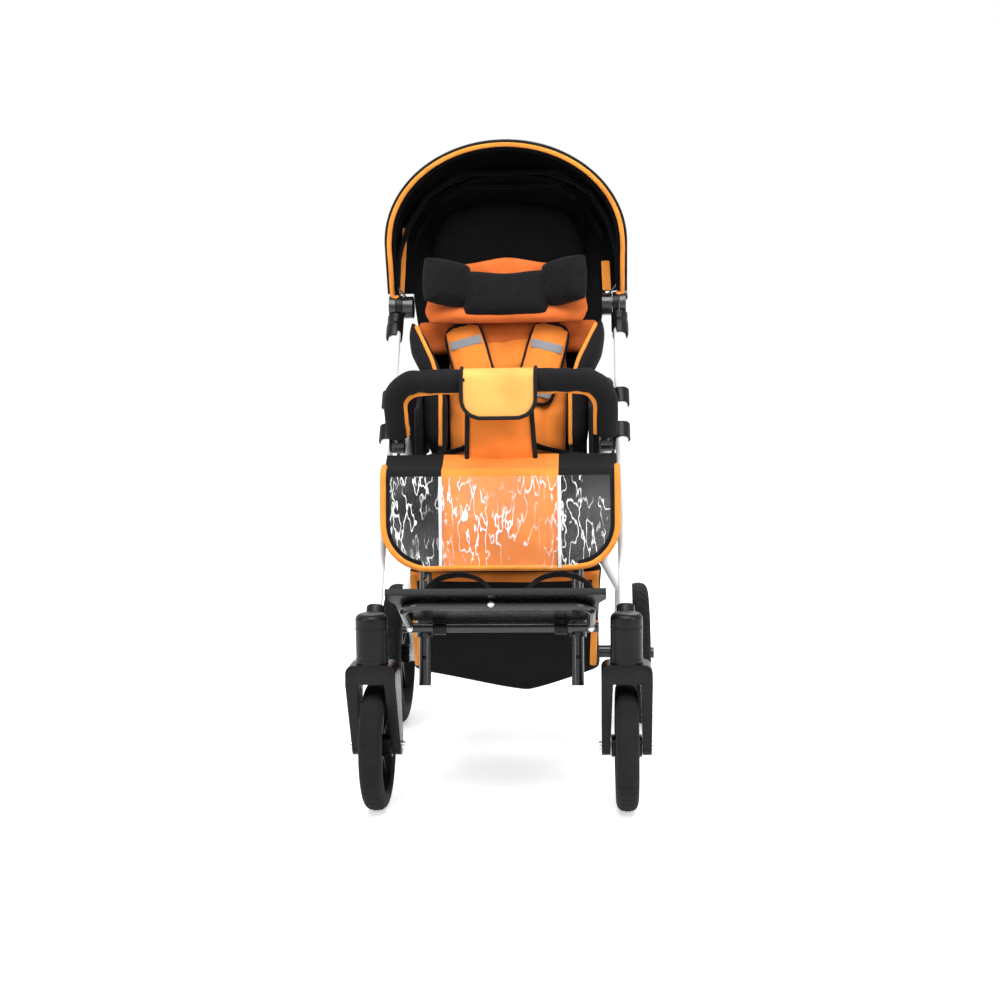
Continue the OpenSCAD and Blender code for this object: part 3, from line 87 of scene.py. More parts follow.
def leaning(origin, degrees):
    """Frame whose Z leans backwards by that angle."""
    a = math.radians(degrees)
    return place(origin, (0, math.sin(a), math.cos(a)))


def moved(m, x=0.0, y=0.0, z=0.0):
    return m @ Matrix.Translation((x, y, z))


def middle(node):
    low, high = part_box(node)
    return (low + high) / 2


def local_box(node, m):
    """Box of a CAD node in another frame."""
    pts = [m.inverted() @ v.co for v in NODES[node].data.vertices]
    return [Vector(pick(p[i] for p in pts) for i in range(3)) for pick in (min, max)]


FACING = Matrix.Rotation(math.radians(90), 4, "X")
BACK = place(joint_at("backrest_recline"), Vector(JOINTS["headrest_slide"]["axis"]).normalized())
BUMPER_LEAN = -32
BUMPER = leaning(joint_at("bumper_swing"), BUMPER_LEAN)
FOOT_TILT = 28
FOOT = leaning(joint_at("footplate_flip"), FOOT_TILT)
HUB = joint_at("canopy_fold")


# Numbers


def smooth(t):
    t = min(max(t, 0.0), 1.0)
    return t * t * (3 - 2 * t)


def mix(a, b, t):
    return a + (b - a) * t


def bell(d, width):
    return math.exp(-((d / width) ** 2))


def ripple(p, scale, seed=0.0):
    """Smooth noise from -1 to 1 with bumps of about that size."""
    return noise.noise(Vector(p) / scale + Vector((seed * 7.3, seed * 3.1, seed)))


# Meshes

SHARP_ANGLE = math.radians(42)


def smooth_faces(mesh):
    mesh.polygons.foreach_set("use_smooth", [True] * len(mesh.polygons))


def mesh_object(name, verts, faces, mats, slots=None):
    """Object from points and faces, with outward faces and smooth shading."""
    mesh = bpy.data.meshes.new(name)
    mesh.from_pydata([tuple(v) for v in verts], [], [tuple(f) for f in faces])
    for m in mats if isinstance(mats, (list, tuple)) else [mats]:
        mesh.materials.append(m)
    if slots:
        mesh.polygons.foreach_set("material_index", slots)
    b = bmesh.new()
    b.from_mesh(mesh)
    bmesh.ops.recalc_face_normals(b, faces=b.faces)
    b.to_mesh(mesh)
    b.free()
    smooth_faces(mesh)
    mesh.set_sharp_from_angle(angle=SHARP_ANGLE)
    obj = bpy.data.objects.new(name, mesh)
    SCENE.collection.objects.link(obj)
    return obj


def skin(rings, caps=True, loop=False):
    """Points and faces of a skin over closed rings of points."""
    n = len(rings[0])
    count = len(rings)
    verts = [p for r in rings for p in r]
    faces = []
    for i in range(count if loop else count - 1):
        k = (i + 1) % count
        for j in range(n):
            q = (j + 1) % n
            faces.append((i * n + j, i * n + q, k * n + q, k * n + j))
    if caps and not loop:
        faces.append(tuple(range(n - 1, -1, -1)))
        faces.append(tuple((count - 1) * n + j for j in range(n)))
    return verts, faces


def power_of(v, power):
    """Power of a number's size, with its sign."""
    return math.copysign(abs(v) ** power, v)


def oval(w, t, n=16, power=2.0):
    """Rounded profile w wide and t thick; a high power makes it boxier."""
    turns = [2 * math.pi * (i + 0.5) / n for i in range(n)]
    e = 2 / power
    return [(power_of(math.cos(a), e) * w / 2, power_of(math.sin(a), e) * t / 2) for a in turns]


def squarish(n, power):
    """Points round a rounded square that reaches from -1 to 1."""
    out = []
    for k in range(n):
        g = 2 * math.pi * k / n
        x, y = math.cos(g), math.sin(g)
        q = (abs(x) ** power + abs(y) ** power) ** (1 / power)
        out.append((x / q, y / q))
    return out


def curve(points, per_span=8):
    """Smooth path through the points."""
    pts = [Vector(p) for p in points]
    out = []
    for i in range(len(pts) - 1):
        b, c = pts[i], pts[i + 1]
        a = pts[i - 1] if i else b * 2 - c
        d = pts[i + 2] if i + 2 < len(pts) else c * 2 - b
        for k in range(per_span):
            t = k / per_span
            square = (2 * a - 5 * b + 4 * c - d) * t * t
            out.append(0.5 * (2 * b + (c - a) * t + square + (3 * b - a - 3 * c + d) * t ** 3))
    out.append(pts[-1])
    return out


def bent(points, radius, steps=8):
    """Straight runs between the points with round bends."""
    pts = [Vector(p) for p in points]
    out = [pts[0]]
    for i in range(1, len(pts) - 1):
        u = (pts[i - 1] - pts[i]).normalized()
        v = (pts[i + 1] - pts[i]).normalized()
        half = u.angle(v) / 2
        cut = radius / math.tan(half)
        centre = pts[i] + (u + v).normalized() * radius / math.sin(half)
        a = pts[i] + u * cut - centre
        b = pts[i] + v * cut - centre
        turn = a.angle(b)
        for k in range(steps + 1):
            t = k / steps
            out.append(centre + (a * math.sin((1 - t) * turn) + b * math.sin(t * turn)) / math.sin(turn))
    out.append(pts[-1])
    return out


def length_of(points):
    return sum((b - a).length for a, b in zip(points, points[1:]))


def spaced(path, step):
    """The path again at even steps."""
    lengths = [0.0]
    for a, b in zip(path, path[1:]):
        lengths.append(lengths[-1] + (b - a).length)
    n = max(2, round(lengths[-1] / step))
    out = []
    k = 0
    for i in range(n + 1):
        d = lengths[-1] * i / n
        while k < len(path) - 2 and lengths[k + 1] < d:
            k += 1
        span = lengths[k + 1] - lengths[k]
        out.append(path[k].lerp(path[k + 1], (d - lengths[k]) / span if span else 0.0))
    return out


def divided(path, count):
    return spaced(path, length_of(path) / count)


def sweep(path, profile, up=(0, 0, 1), loop=False, size=None, round_ends=True):
    """Rings of a profile carried along a path without twisting. size(way along) scales it."""
    n = len(path)
    tangents = []
    for i in range(n):
        a = path[i - 1] if i or loop else path[0]
        b = path[(i + 1) % n] if i < n - 1 or loop else path[-1]
        tangents.append((b - a).normalized())
    normal = Vector(up)
    rings = []
    for i in range(n):
        t = tangents[i]
        normal = (normal - t * normal.dot(t)).normalized()
        side = t.cross(normal)
        k = size(i / (n - 1)) if size else 1.0
        rings.append([path[i] + (side * a + normal * b) * k for a, b in profile])
    if round_ends and not loop:
        reach = min(max(abs(p[i]) for p in profile) for i in range(2))
        rings = dome(rings, path, tangents, reach)
    return rings


def dome(rings, path, tangents, reach):
    """Round ends for a swept form."""
    ends = []
    for ring, p, t in ((rings[0], path[0], tangents[0]), (rings[-1], path[-1], -tangents[-1])):
        end = []
        for a in (75, 50, 25):
            s, c = math.sin(math.radians(a)), math.cos(math.radians(a))
            end.append([p + (q - p) * c + t * reach * (1 - s) for q in ring])
        end.append([q + t * reach for q in ring])
        ends.append(end)
    return ends[0] + rings[1:-1] + ends[1][::-1]


def tube(name, path, profile, mat, loop=False, **more):
    return mesh_object(name, *skin(sweep(path, profile, loop=loop, **more), loop=loop), mat)


def lathe(name, profile, m, mat, segments):
    """Turned piece: profile holds (radius, height) along Z of m."""
    turns = [2 * math.pi * i / segments for i in range(segments)]
    rings = [[m @ Vector((r * math.cos(a), r * math.sin(a), h)) for a in turns] for r, h in profile]
    return mesh_object(name, *skin(rings), mat)


def only(*objects):
    """Selects these objects alone and makes the first one active."""
    bpy.ops.object.select_all(action="DESELECT")
    for obj in objects:
        obj.select_set(True)
    bpy.context.view_layer.objects.active = objects[0]


def joined(name, parts):
    """Several pieces made into one."""
    only(*parts)
    bpy.ops.object.join()
    parts[0].name = name
    parts[0].data.name = name
    return parts[0]


def one_finish(i, j):
    return 0


def sheet_object(name, rows, thickness, mats, picks=one_finish):
    """Closed sheet over rows of points. picks gives each face's finish, with None for back and edge."""
    h, w = len(rows), len(rows[0])
    verts = [Vector(p) for r in rows for p in r]
    for i in range(h):
        for j in range(w):
            du = rows[i][min(j + 1, w - 1)] - rows[i][max(j - 1, 0)]
            dv = rows[min(i + 1, h - 1)][j] - rows[max(i - 1, 0)][j]
            n = du.cross(dv)
            n = n.normalized() if n.length > 1e-12 else Vector((0, 0, 1))
            verts.append(rows[i][j] - n * thickness)
    faces, slots = [], []
    k = h * w
    for i in range(h - 1):
        for j in range(w - 1):
            a, b, c, d = i * w + j, i * w + j + 1, (i + 1) * w + j + 1, (i + 1) * w + j
            faces += [(a, b, c, d), (d + k, c + k, b + k, a + k)]
            slots += [picks(i, j), picks(None, None)]
    rim = list(range(w)) + [i * w + w - 1 for i in range(1, h)]
    rim += [(h - 1) * w + j for j in range(w - 2, -1, -1)]
    rim += [i * w for i in range(h - 2, 0, -1)]
    for a, b in zip(rim, rim[1:] + rim[:1]):
        faces.append((a, b, b + k, a + k))
        slots.append(picks(None, None))
    return mesh_object(name, verts, faces, mats, slots)


def column(rows, j):
    return [r[j] for r in rows]


# Stuffed pads

CLOTH_FRAMES = 14
CLOTH_STIFFNESS = 12
BACK_ROUND = 0.35


def pillow(name, m, w, l, t, crown, mat, n, corner):
    """Stuffed pad: X and Y of m across it, its back on Z zero, a seam round its middle."""

    def edge(u, v):
        d = min((1 - abs(u)) * w, (1 - abs(v)) * l) / 2
        q = min(d / (t * 0.75), 1.0)
        return math.sqrt(max(0.0, 1 - (1 - q) ** 2))

    def spot(i, j, top):
        u = math.sin(math.pi * (i / n - 0.5))
        v = math.sin(math.pi * (j / n - 0.5))
        x = u * math.sqrt(1 - corner * v * v / 2) * w / 2
        y = v * math.sqrt(1 - corner * u * u / 2) * l / 2
        e = edge(u, v)
        if top:
            rise = ((1 - abs(u) ** 3) * (1 - abs(v) ** 3)) ** 0.6
            return Vector((x, y, t * (0.5 + 0.5 * e) + crown * rise))
        return Vector((x, y, t * 0.5 * (1 - e * (1 - BACK_ROUND) - BACK_ROUND * min(1.0, 3 * e))))

    side = n + 1
    verts = [m @ spot(i, j, True) for i in range(side) for j in range(side)]
    under = {}
    for i in range(side):
        for j in range(side):
            if i in (0, n) or j in (0, n):
                under[i, j] = i * side + j
            else:
                under[i, j] = len(verts)
                verts.append(m @ spot(i, j, False))
    faces = []
    for i in range(n):
        for j in range(n):
            a = i * side + j
            faces.append((a, a + side, a + side + 1, a + 1))
            faces.append((under[i, j], under[i, j + 1], under[i + 1, j + 1], under[i + 1, j]))
    return mesh_object(name, verts, faces, mat)


def inflated(obj, pressure):
    """Places of the points after a short cloth run under pressure."""
    mod = obj.modifiers.new("stuffing", "CLOTH")
    run = mod.settings
    run.quality = 4
    run.mass = 0.3
    run.tension_stiffness = CLOTH_STIFFNESS
    run.compression_stiffness = CLOTH_STIFFNESS
    run.bending_stiffness = 2.0
    run.use_pressure = True
    run.uniform_pressure_force = pressure
    run.effector_weights.gravity = 0.0
    mod.point_cache.frame_start = 1
    mod.point_cache.frame_end = CLOTH_FRAMES
    for f in range(1, CLOTH_FRAMES + 1):
        SCENE.frame_set(f)
    seen = obj.evaluated_get(bpy.context.evaluated_depsgraph_get())
    places = [v.co.copy() for v in seen.to_mesh().vertices]
    seen.to_mesh_clear()
    obj.modifiers.remove(mod)
    SCENE.frame_set(1)
    return places


def stuffed(obj, voxel, pressure, most, m=None, form=None):
    """Swells a pad by at most that much, then moves its points in the frame of m by form(point)."""
    mats = list(obj.data.materials)
    obj.data.remesh_voxel_size = voxel
    only(obj)
    bpy.ops.object.voxel_remesh()
    if not obj.data.materials:
        for mat in mats:
            obj.data.materials.append(mat)
    rest = [v.co.copy() for v in obj.data.vertices]
    for v, a, b in zip(obj.data.vertices, rest, inflated(obj, pressure)):
        step = b - a
        v.co = a + step * min(1.0, most / step.length) if step.length > 0 else a
    smooth_faces(obj.data)
    if form:
        back = m.inverted()
        for v in obj.data.vertices:
            v.co = m @ form(back @ v.co)
        obj.data.update()
    even = obj.modifiers.new("even", "SMOOTH")
    even.factor = 0.5
    even.iterations = 3
    return obj


# Finishes


def add_node(tree, kind, inputs=(), **props):
    """Shader node with its settings. An input is a value or another node's output."""
    n = tree.nodes.new("ShaderNode" + kind)
    for key, value in props.items():
        setattr(n, key, value)
    for key, value in dict(inputs).items():
        if isinstance(value, bpy.types.NodeSocket):
            tree.links.new(value, n.inputs[key])
        else:
            n.inputs[key].default_value = value
    return n


class Finish:
    """One procedural material."""

    def __init__(self, name, colour, rough, **more):
        self.mat = bpy.data.materials.new(name)
        self.mat.use_nodes = True
        self.tree = self.mat.node_tree
        self.base = self.tree.nodes["Principled BSDF"]
        self.base.inputs["Base Color"].default_value = (*colour, 1)
        self.base.inputs["Roughness"].default_value = rough
        for key, value in more.items():
            self.base.inputs[key.replace("_", " ")].default_value = value
        coords = self.node("TexCoord")
        self.where = coords.outputs["Object"]
        self.facing = coords.outputs["Normal"]
        self.last_bump = None

    def node(self, kind, inputs=(), **props):
        return add_node(self.tree, kind, inputs, **props)

    def sum(self, operation, a, b=0.0):
        return self.node("Math", {0: a, 1: b}, operation=operation).outputs[0]

    def spread(self, value, start, end, low, high):
        """Carries a value from one range to another."""
        return self.node("MapRange", {0: value, 1: start, 2: end, 3: low, 4: high}).outputs[0]

    def noise(self, scale, detail=3.0, stretch=None):
        where = self.where
        if stretch:
            where = self.node("Mapping", {"Vector": where, "Scale": stretch}).outputs[0]
        return self.node("TexNoise", {"Vector": where, "Scale": scale, "Detail": detail}).outputs[0]

    def weave(self, pitch):
        """Threads over and under each other on every face."""
        at = self.node("SeparateXYZ", {0: self.where}).outputs
        facing = self.node("SeparateXYZ", {0: self.facing}).outputs
        waves = [self.sum("SINE", self.sum("MULTIPLY", at[i], 2 * math.pi / pitch)) for i in range(3)]
        total = None
        for i in range(3):
            pair = self.sum("MULTIPLY", waves[(i + 1) % 3], waves[(i + 2) % 3])
            part = self.sum("MULTIPLY", pair, self.sum("MULTIPLY", facing[i], facing[i]))
            total = part if total is None else self.sum("ADD", total, part)
        return total

    def tint(self, value, colour, low, high, start=0.3, end=0.7):
        """Colour that goes from a low to a high share of itself with a value."""
        n = self.node("ValToRGB", {0: value})
        for stop, at, share in zip(n.color_ramp.elements, (start, end), (low, high)):
            stop.position = at
            stop.color = (*(min(1.0, c * share) for c in colour), 1)
        self.tree.links.new(n.outputs[0], self.base.inputs["Base Color"])

    def shine(self, value, low, high):
        self.tree.links.new(self.spread(value, 0.3, 0.7, low, high), self.base.inputs["Roughness"])

    def bump(self, height, distance, strength=1.0):
        inputs = {"Height": height, "Distance": distance, "Strength": strength}
        if self.last_bump:
            inputs["Normal"] = self.last_bump
        self.last_bump = self.node("Bump", inputs).outputs[0]
        self.tree.links.new(self.last_bump, self.base.inputs["Normal"])


def cloth(name, colour, pitch=2.2 * MM, rough=0.88, folds=0.0, sheen=0.06, gloss=0.12):
    f = Finish(name, colour, rough, Sheen_Weight=sheen, Sheen_Roughness=0.5, Specular_IOR_Level=gloss)
    threads = f.weave(pitch)
    shade = f.sum("ADD", f.sum("MULTIPLY", threads, 0.16), f.noise(16.0, 4.0))
    f.tint(shade, colour, 0.84, 1.16)
    f.bump(threads, 0.35 * MM)
    if folds:
        f.bump(f.noise(26.0, 2.0, (1.0, 1.0, 0.35)), folds)
    return f.mat


def paint(name, colour, rough, coat=0.4, dust=0.05):
    f = Finish(name, colour, rough, Coat_Weight=coat, Coat_Roughness=0.08)
    f.tint(f.noise(9.0, 5.0), colour, 1 - dust, 1 + dust)
    f.shine(f.noise(40.0, 3.0), rough * 0.8, rough * 1.3)
    f.bump(f.noise(420.0, 2.0), 0.12 * MM, 0.5)
    return f.mat


def moulded(name, colour, rough, grain=0.14 * MM, gloss=0.3):
    f = Finish(name, colour, rough, Specular_IOR_Level=gloss)
    f.tint(f.noise(24.0, 6.0), colour, 0.75, 1.25)
    f.shine(f.noise(60.0, 3.0), rough * 0.85, rough * 1.15)
    f.bump(f.noise(1100.0, 2.0), grain, 0.7)
    return f.mat


def knit(name, colour, cell):
    """Open spacer knit with small dimples."""
    f = Finish(name, colour, 0.9, Sheen_Weight=0.05, Sheen_Roughness=0.4, Specular_IOR_Level=0.1)
    holes = f.node("TexVoronoi", {"Vector": f.where, "Scale": 1 / cell}).outputs["Distance"]
    f.tint(holes, colour, 1.25, 0.45, 0.2, 0.75)
    f.bump(holes, 0.8 * MM, 0.8)
    return f.mat


def webbing(name, colour, rib):
    """Narrow woven tape with ribs across it."""
    f = Finish(name, colour, 0.8, Sheen_Weight=0.04, Specular_IOR_Level=0.15)
    threads = f.weave(rib)
    f.tint(f.sum("ADD", f.sum("MULTIPLY", threads, 0.2), f.noise(50.0)), colour, 0.75, 1.3)
    f.bump(threads, 0.5 * MM)
    return f.mat


def rubber(name, colour):
    f = Finish(name, colour, 0.78, Specular_IOR_Level=0.12)
    f.tint(f.noise(18.0, 6.0), colour, 0.8, 1.7, 0.35, 0.75)
    f.bump(f.noise(700.0, 3.0), 0.2 * MM, 0.6)
    return f.mat


def metal(name, colour, rough):
    f = Finish(name, colour, rough, Metallic=1.0)
    f.tint(f.noise(30.0, 5.0), colour, 0.85, 1.1)
    f.shine(f.noise(150.0, 2.0, (1.0, 1.0, 8.0)), rough * 0.7, rough * 1.5)
    return f.mat


def film(name):
    """Clear plastic film: see-through, with painted highlights: white streaks along its wrinkles are made
    opaque to stand in for glints.
    """
    f = Finish(name, (0.97, 0.97, 0.98), 0.10, IOR=1.4, Coat_Weight=0.2, Coat_Roughness=0.05)
    slant = {"Vector": f.where, "Rotation": (0, math.radians(-32), 0), "Scale": (1.0, 1.0, 0.28)}
    turned = f.node("Mapping", slant).outputs[0]
    wrinkle = f.node("TexNoise", {"Vector": turned, "Scale": 70.0, "Detail": 2.0}).outputs[0]
    # Painted highlights: thin lines along the slanted wrinkles, in patches, are made opaque white.
    ridge = f.sum("ABSOLUTE", f.sum("SUBTRACT", wrinkle, 0.5))
    line = f.spread(ridge, 0.004, 0.024, 1.0, 0.0)
    patch = f.spread(f.noise(17.0, 1.0), 0.36, 0.58, 0.0, 1.0)
    veil = f.spread(f.noise(6.0, 2.0), 0.35, 0.7, 0.01, 0.06)
    painted_glint = f.sum("MULTIPLY", f.sum("MULTIPLY", line, patch), 0.85)
    f.tree.links.new(f.sum("ADD", veil, painted_glint), f.base.inputs["Alpha"])
    f.bump(wrinkle, 1.0 * MM, 0.5)
    return f.mat


DARK = (0.0045, 0.0045, 0.005)
SOFT_BLACK = (0.009, 0.009, 0.010)
orange = cloth("orange_cloth", (0.85, 0.24, 0.038), folds=3.0 * MM)
# Darker copy of the orange cloth: painted shade for the headrest liner and yoke, which sit in shade under the
# canopy.
shaded_orange = cloth("shade_painted_orange_cloth", (0.66, 0.145, 0.030), folds=3.0 * MM)
# Paler copy of the orange cloth: painted light for the bumper flap, whose top faces the lamps.
lit_orange = cloth("light_painted_orange_cloth", (0.90, 0.42, 0.105), folds=0.6 * MM)
piping = cloth("orange_piping", (0.88, 0.30, 0.045), pitch=1.6 * MM)
black = cloth("black_cloth", (0.008, 0.008, 0.009), folds=1.5 * MM, sheen=0.02)
shell_cloth = cloth("canopy_outer_cloth", (0.075, 0.095, 0.12), rough=0.6, folds=1.5 * MM, sheen=0.2)
lining = cloth("canopy_lining", (0.0035, 0.0035, 0.004), folds=2.0 * MM, sheen=0.0, gloss=0.05)
mesh_knit = knit("black_spacer_knit", SOFT_BLACK, 2.2 * MM)
tape = webbing("black_webbing", SOFT_BLACK, 2.6 * MM)
binding = webbing("black_binding", (0.006, 0.006, 0.007), 1.8 * MM)
reflector = cloth("reflective_tape", (0.30, 0.31, 0.33), pitch=1.4 * MM, rough=0.35, sheen=0.0)
white = paint("white_frame_paint", (0.84, 0.84, 0.83), 0.22)
black_gloss = paint("black_tube_paint", (0.007, 0.007, 0.008), 0.24, 0.15, 0.2)
plastic = moulded("black_plastic", DARK, 0.30, gloss=0.17)
satin = moulded("satin_black_plastic", DARK, 0.28, 0.05 * MM, gloss=0.17)
tyre_rubber = rubber("tyre_rubber", (0.009, 0.009, 0.0095))
foam = moulded("grip_foam", (0.018, 0.018, 0.019), 0.85, grain=0.5 * MM)
steel = metal("zinc_steel", (0.72, 0.73, 0.75), 0.28)
clear = film("clear_film")
weld = cloth("welded_seam", (0.85, 0.85, 0.84), pitch=1.8 * MM, rough=0.4, sheen=0.0)


# How a piece joins the part


def keep(obj, body, stands_for=()):
    """The piece moves with a body and may stand for CAD nodes, which are hidden."""
    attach(obj, body)
    if stands_for:
        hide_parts(*stands_for)


def trim(name, path, profile, mat, body, **more):
    """A swept piece on a body."""
    keep(tube(name, path, profile, mat, **more), body)


def on_left(s, node):
    """A CAD node that holds both sides is replaced once, by the left piece."""
    return (node,) if s > 0 else ()


ROUND_BINDING = oval(8 * MM, 8 * MM, 10)
FLAT_BINDING = oval(9 * MM, 7 * MM, 10)


# CAD nodes that stay in view


def finished(node, mat, bevel):
    """A CAD node with rounded edges and a finish."""
    obj = NODES[node]
    obj.data.materials.clear()
    obj.data.materials.append(mat)
    smooth_faces(obj.data)
    join = obj.modifiers.new("join", "WELD")
    join.merge_threshold = 0.02 * MM
    if bevel:
        edge = obj.modifiers.new("edge", "BEVEL")
        edge.width = bevel
        edge.segments = 3
        edge.limit_method = "ANGLE"
        edge.angle_limit = math.radians(35)
        edge.use_clamp_overlap = True
        edge.harden_normals = False
    ease = obj.modifiers.new("ease", "WEIGHTED_NORMAL")
    ease.keep_sharp = False


BARE_NODES = (
    (white, 0.0, "main_tube_left main_tube_right rear_leg_left rear_leg_right"),
    (black_gloss, 0.6 * MM, "front_crossbar footplate_tube footrest_carriage footrest_hangers bumper_tube"),
    (black_gloss, 0.6 * MM, "push_handle backrest_frame seat_frame rear_axle"),
    (black_gloss, 0.6 * MM, "canopy_rear_bow canopy_front_bow"),
    (plastic, 1.2 * MM, "handle_joints pivot_clamps armrest_clamps headrest_mount brake_pedal"),
    (plastic, 1.5 * MM, "caster_housing_left caster_housing_right caster_caps harness_buckle"),
    (satin, 6.0 * MM, "fork_left fork_right"),
    (satin, 1.2 * MM, "front_rim_left front_rim_right rear_rim_left rear_rim_right footplate"),
    (steel, 0.5 * MM, "caster_bearings fork_bolt_left fork_bolt_right"),
    (plastic, 1.0 * MM, "seat_board"),
    (lining, 1.0 * MM, "backrest_shell"),
)
for mat, bevel, nodes in BARE_NODES:
    for node in nodes.split():
        finished(node, mat, bevel)


# Tyres

BLOCK_STEPS = 8
TYRES = (("front", 44, 1.3 * MM, 0.25), ("rear", 40, 2.4 * MM, 0.9))


def tyre(node, tread_count, cut, slant):
    """Tyre over its CAD ring, with grooves cut across the tread."""
    low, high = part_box(node)
    centre = (low + high) / 2
    width = high.x - low.x
    radius = (high.z - low.z) / 2
    seat = radius * 0.76
    around = tread_count * BLOCK_STEPS
    section = []
    steps = 22
    for i in range(steps + 1):
        a = math.radians(mix(-90, 90, i / steps))
        section.append((power_of(math.sin(a), 0.9) * width / 2, seat + (radius - seat) * math.cos(a) ** 0.55))
    rings = []
    for k in range(around):
        turn = 2 * math.pi * k / around
        spots = []
        for x, r in section:
            across = x / (width / 2)
            phase = (k / BLOCK_STEPS + slant * abs(across)) % 1.0
            tread = smooth((r - radius * 0.90) / (radius * 0.05))
            line = bell(abs(across) - 0.33, 0.06) + bell(across, 0.05)
            spots.append((x, r - cut * max(bell(phase - 0.5, 0.16) * tread, 0.7 * line * tread)))
        spots += [(section[i][0] * 0.82, seat - 3 * MM) for i in (-1, 0)]
        rings.append([centre + Vector((x, q * math.sin(turn), q * math.cos(turn))) for x, q in spots])
    return mesh_object(node + "_tread", *skin(rings, loop=True), tyre_rubber)


for side, _ in SIDES:
    for end, *form in TYRES:
        node = f"{end}_tyre_{side}"
        keep(tyre(node, *form), f"{end}_wheel_{side}", [node])


# Canopy: one cloth from the fixed rear bow to the front rim

CANOPY_R = 0.327
CANOPY_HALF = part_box("canopy_front")[1].x
CANOPY_SIDE_R = 0.125
CANOPY_LOW_R = 0.060
RIM_ANGLE = 72
REAR_ANGLE = 117.5
FRONT_DROP = 32 * MM
LINING_T = 1.6 * MM


def arch(depth, n=72, drop=0.0):
    """Section of the hood: (x, distance from the hub) from one foot to the other."""
    a = CANOPY_HALF - depth
    b = CANOPY_R - CANOPY_SIDE_R - depth
    low = CANOPY_LOW_R - drop
    foot = (CANOPY_SIDE_R - low) / (CANOPY_SIDE_R - low + math.pi * (a + b) / 4)
    pts = []
    for i in range(n + 1):
        s = i / n * 2 - 1
        t = 1 - abs(s)
        if t < foot:
            x, r = a, mix(low, CANOPY_SIDE_R, t / foot)
        else:
            g = math.radians(90) * (t - foot) / (1 - foot)
            x, r = a * math.cos(g), CANOPY_SIDE_R + b * math.sin(g)
        pts.append((math.copysign(x, s) if s else 0.0, r))
    return pts


def on_hood(x, r, angle):
    a = math.radians(angle)
    return Vector((x, HUB.y - r * math.cos(a), HUB.z + r * math.sin(a)))


def hood_rows(count=34):
    """Cloth from the rim to the rear bow, slack between the bows and with small creases."""
    rows = []
    for k in range(count + 1):
        t = k / count
        angle = mix(RIM_ANGLE, REAR_ANGLE, t)
        sag = 5 * MM * math.sin(math.pi * ((t * 2) % 1.0)) ** 2 + 2.0 * MM * t
        row = []
        for x, r in arch(0.0, drop=FRONT_DROP * smooth(1 - t / 0.3)):
            p = on_hood(x, r, angle)
            slack = smooth((r - CANOPY_LOW_R) / 0.1)
            wave = ripple((x, p.y * 0.6, p.z), 0.06) * 1.6 * MM + ripple((x, p.y, p.z), 0.025, 2) * 0.5 * MM
            inward = -(Vector((x * 0.6, 0, 0)) + (p - HUB) * 0.9).normalized()
            row.append(p + inward * (sag * slack + 1.0 * MM + wave * math.sin(math.pi * t)))
        rows.append(row)
    return rows


hood = hood_rows()
hood_mats = [shell_cloth, lining]
canopy = sheet_object("canopy_hood_cloth", hood, LINING_T, hood_mats, lambda i, j: 0 if i is not None else 1)
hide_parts("canopy_front", "canopy_rear")
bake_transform(canopy)


def rim_path(depth, angle):
    return [on_hood(x, r, angle) for x, r in arch(depth, 96, FRONT_DROP)]


def curled(path, reach, rise):
    """The piping's ends turn inwards round the hubs."""
    ends = []
    for end in (path[0], path[-1]):
        s = math.copysign(1, end.x)
        turns = ((1.0, 0.4), (0.6, 1.0), (0.2, 0.8))
        ends.append([end + Vector((-s * reach * a, 0, -rise * b)) for a, b in turns])
    return spaced(curve(ends[0] + path[::6] + ends[1][::-1], 6), 8 * MM)


rim = [p + Vector((0, -2 * MM, 0)) for p in curled(rim_path(9.5 * MM, RIM_ANGLE), 12 * MM, 9 * MM)]
trim("canopy_rim_piping", rim, oval(9.5 * MM, 9.5 * MM, 14), piping, "canopy_hood")
rim = spaced(rim_path(3.0 * MM, RIM_ANGLE - 0.3), 8 * MM)
trim("canopy_rim_binding", rim, oval(6 * MM, 7 * MM, 12), binding, "canopy_hood", up=REARWARD)
rim = spaced(rim_path(16 * MM, RIM_ANGLE + 1.2), 8 * MM)
trim("canopy_rim_hem", rim, oval(12 * MM, 4 * MM, 12, 3.0), lining, "canopy_hood", up=REARWARD)

MID_LINE = ((0.221, 0.940), (0.221, 1.000), (0.204, 1.070), (0.168, 1.131), (0.100, 1.178))
MID_ANGLE = 113
STRIP_FOOT = 0.930
STRIPS = (("right", -1, 0.2125, 1.066, 10 * MM), ("left", 1, 0.198, 0.990, 17 * MM))
FIN_TOP = 1.05
FIN_OUTER = 0.217


def in_hood(x, z, back=0.0):
    """Point on the plane of the middle bow, which the front rim doesn't reach when it folds."""
    return Vector((x, HUB.y + (z - HUB.z) / math.tan(math.radians(180 - MID_ANGLE)) + back, z))


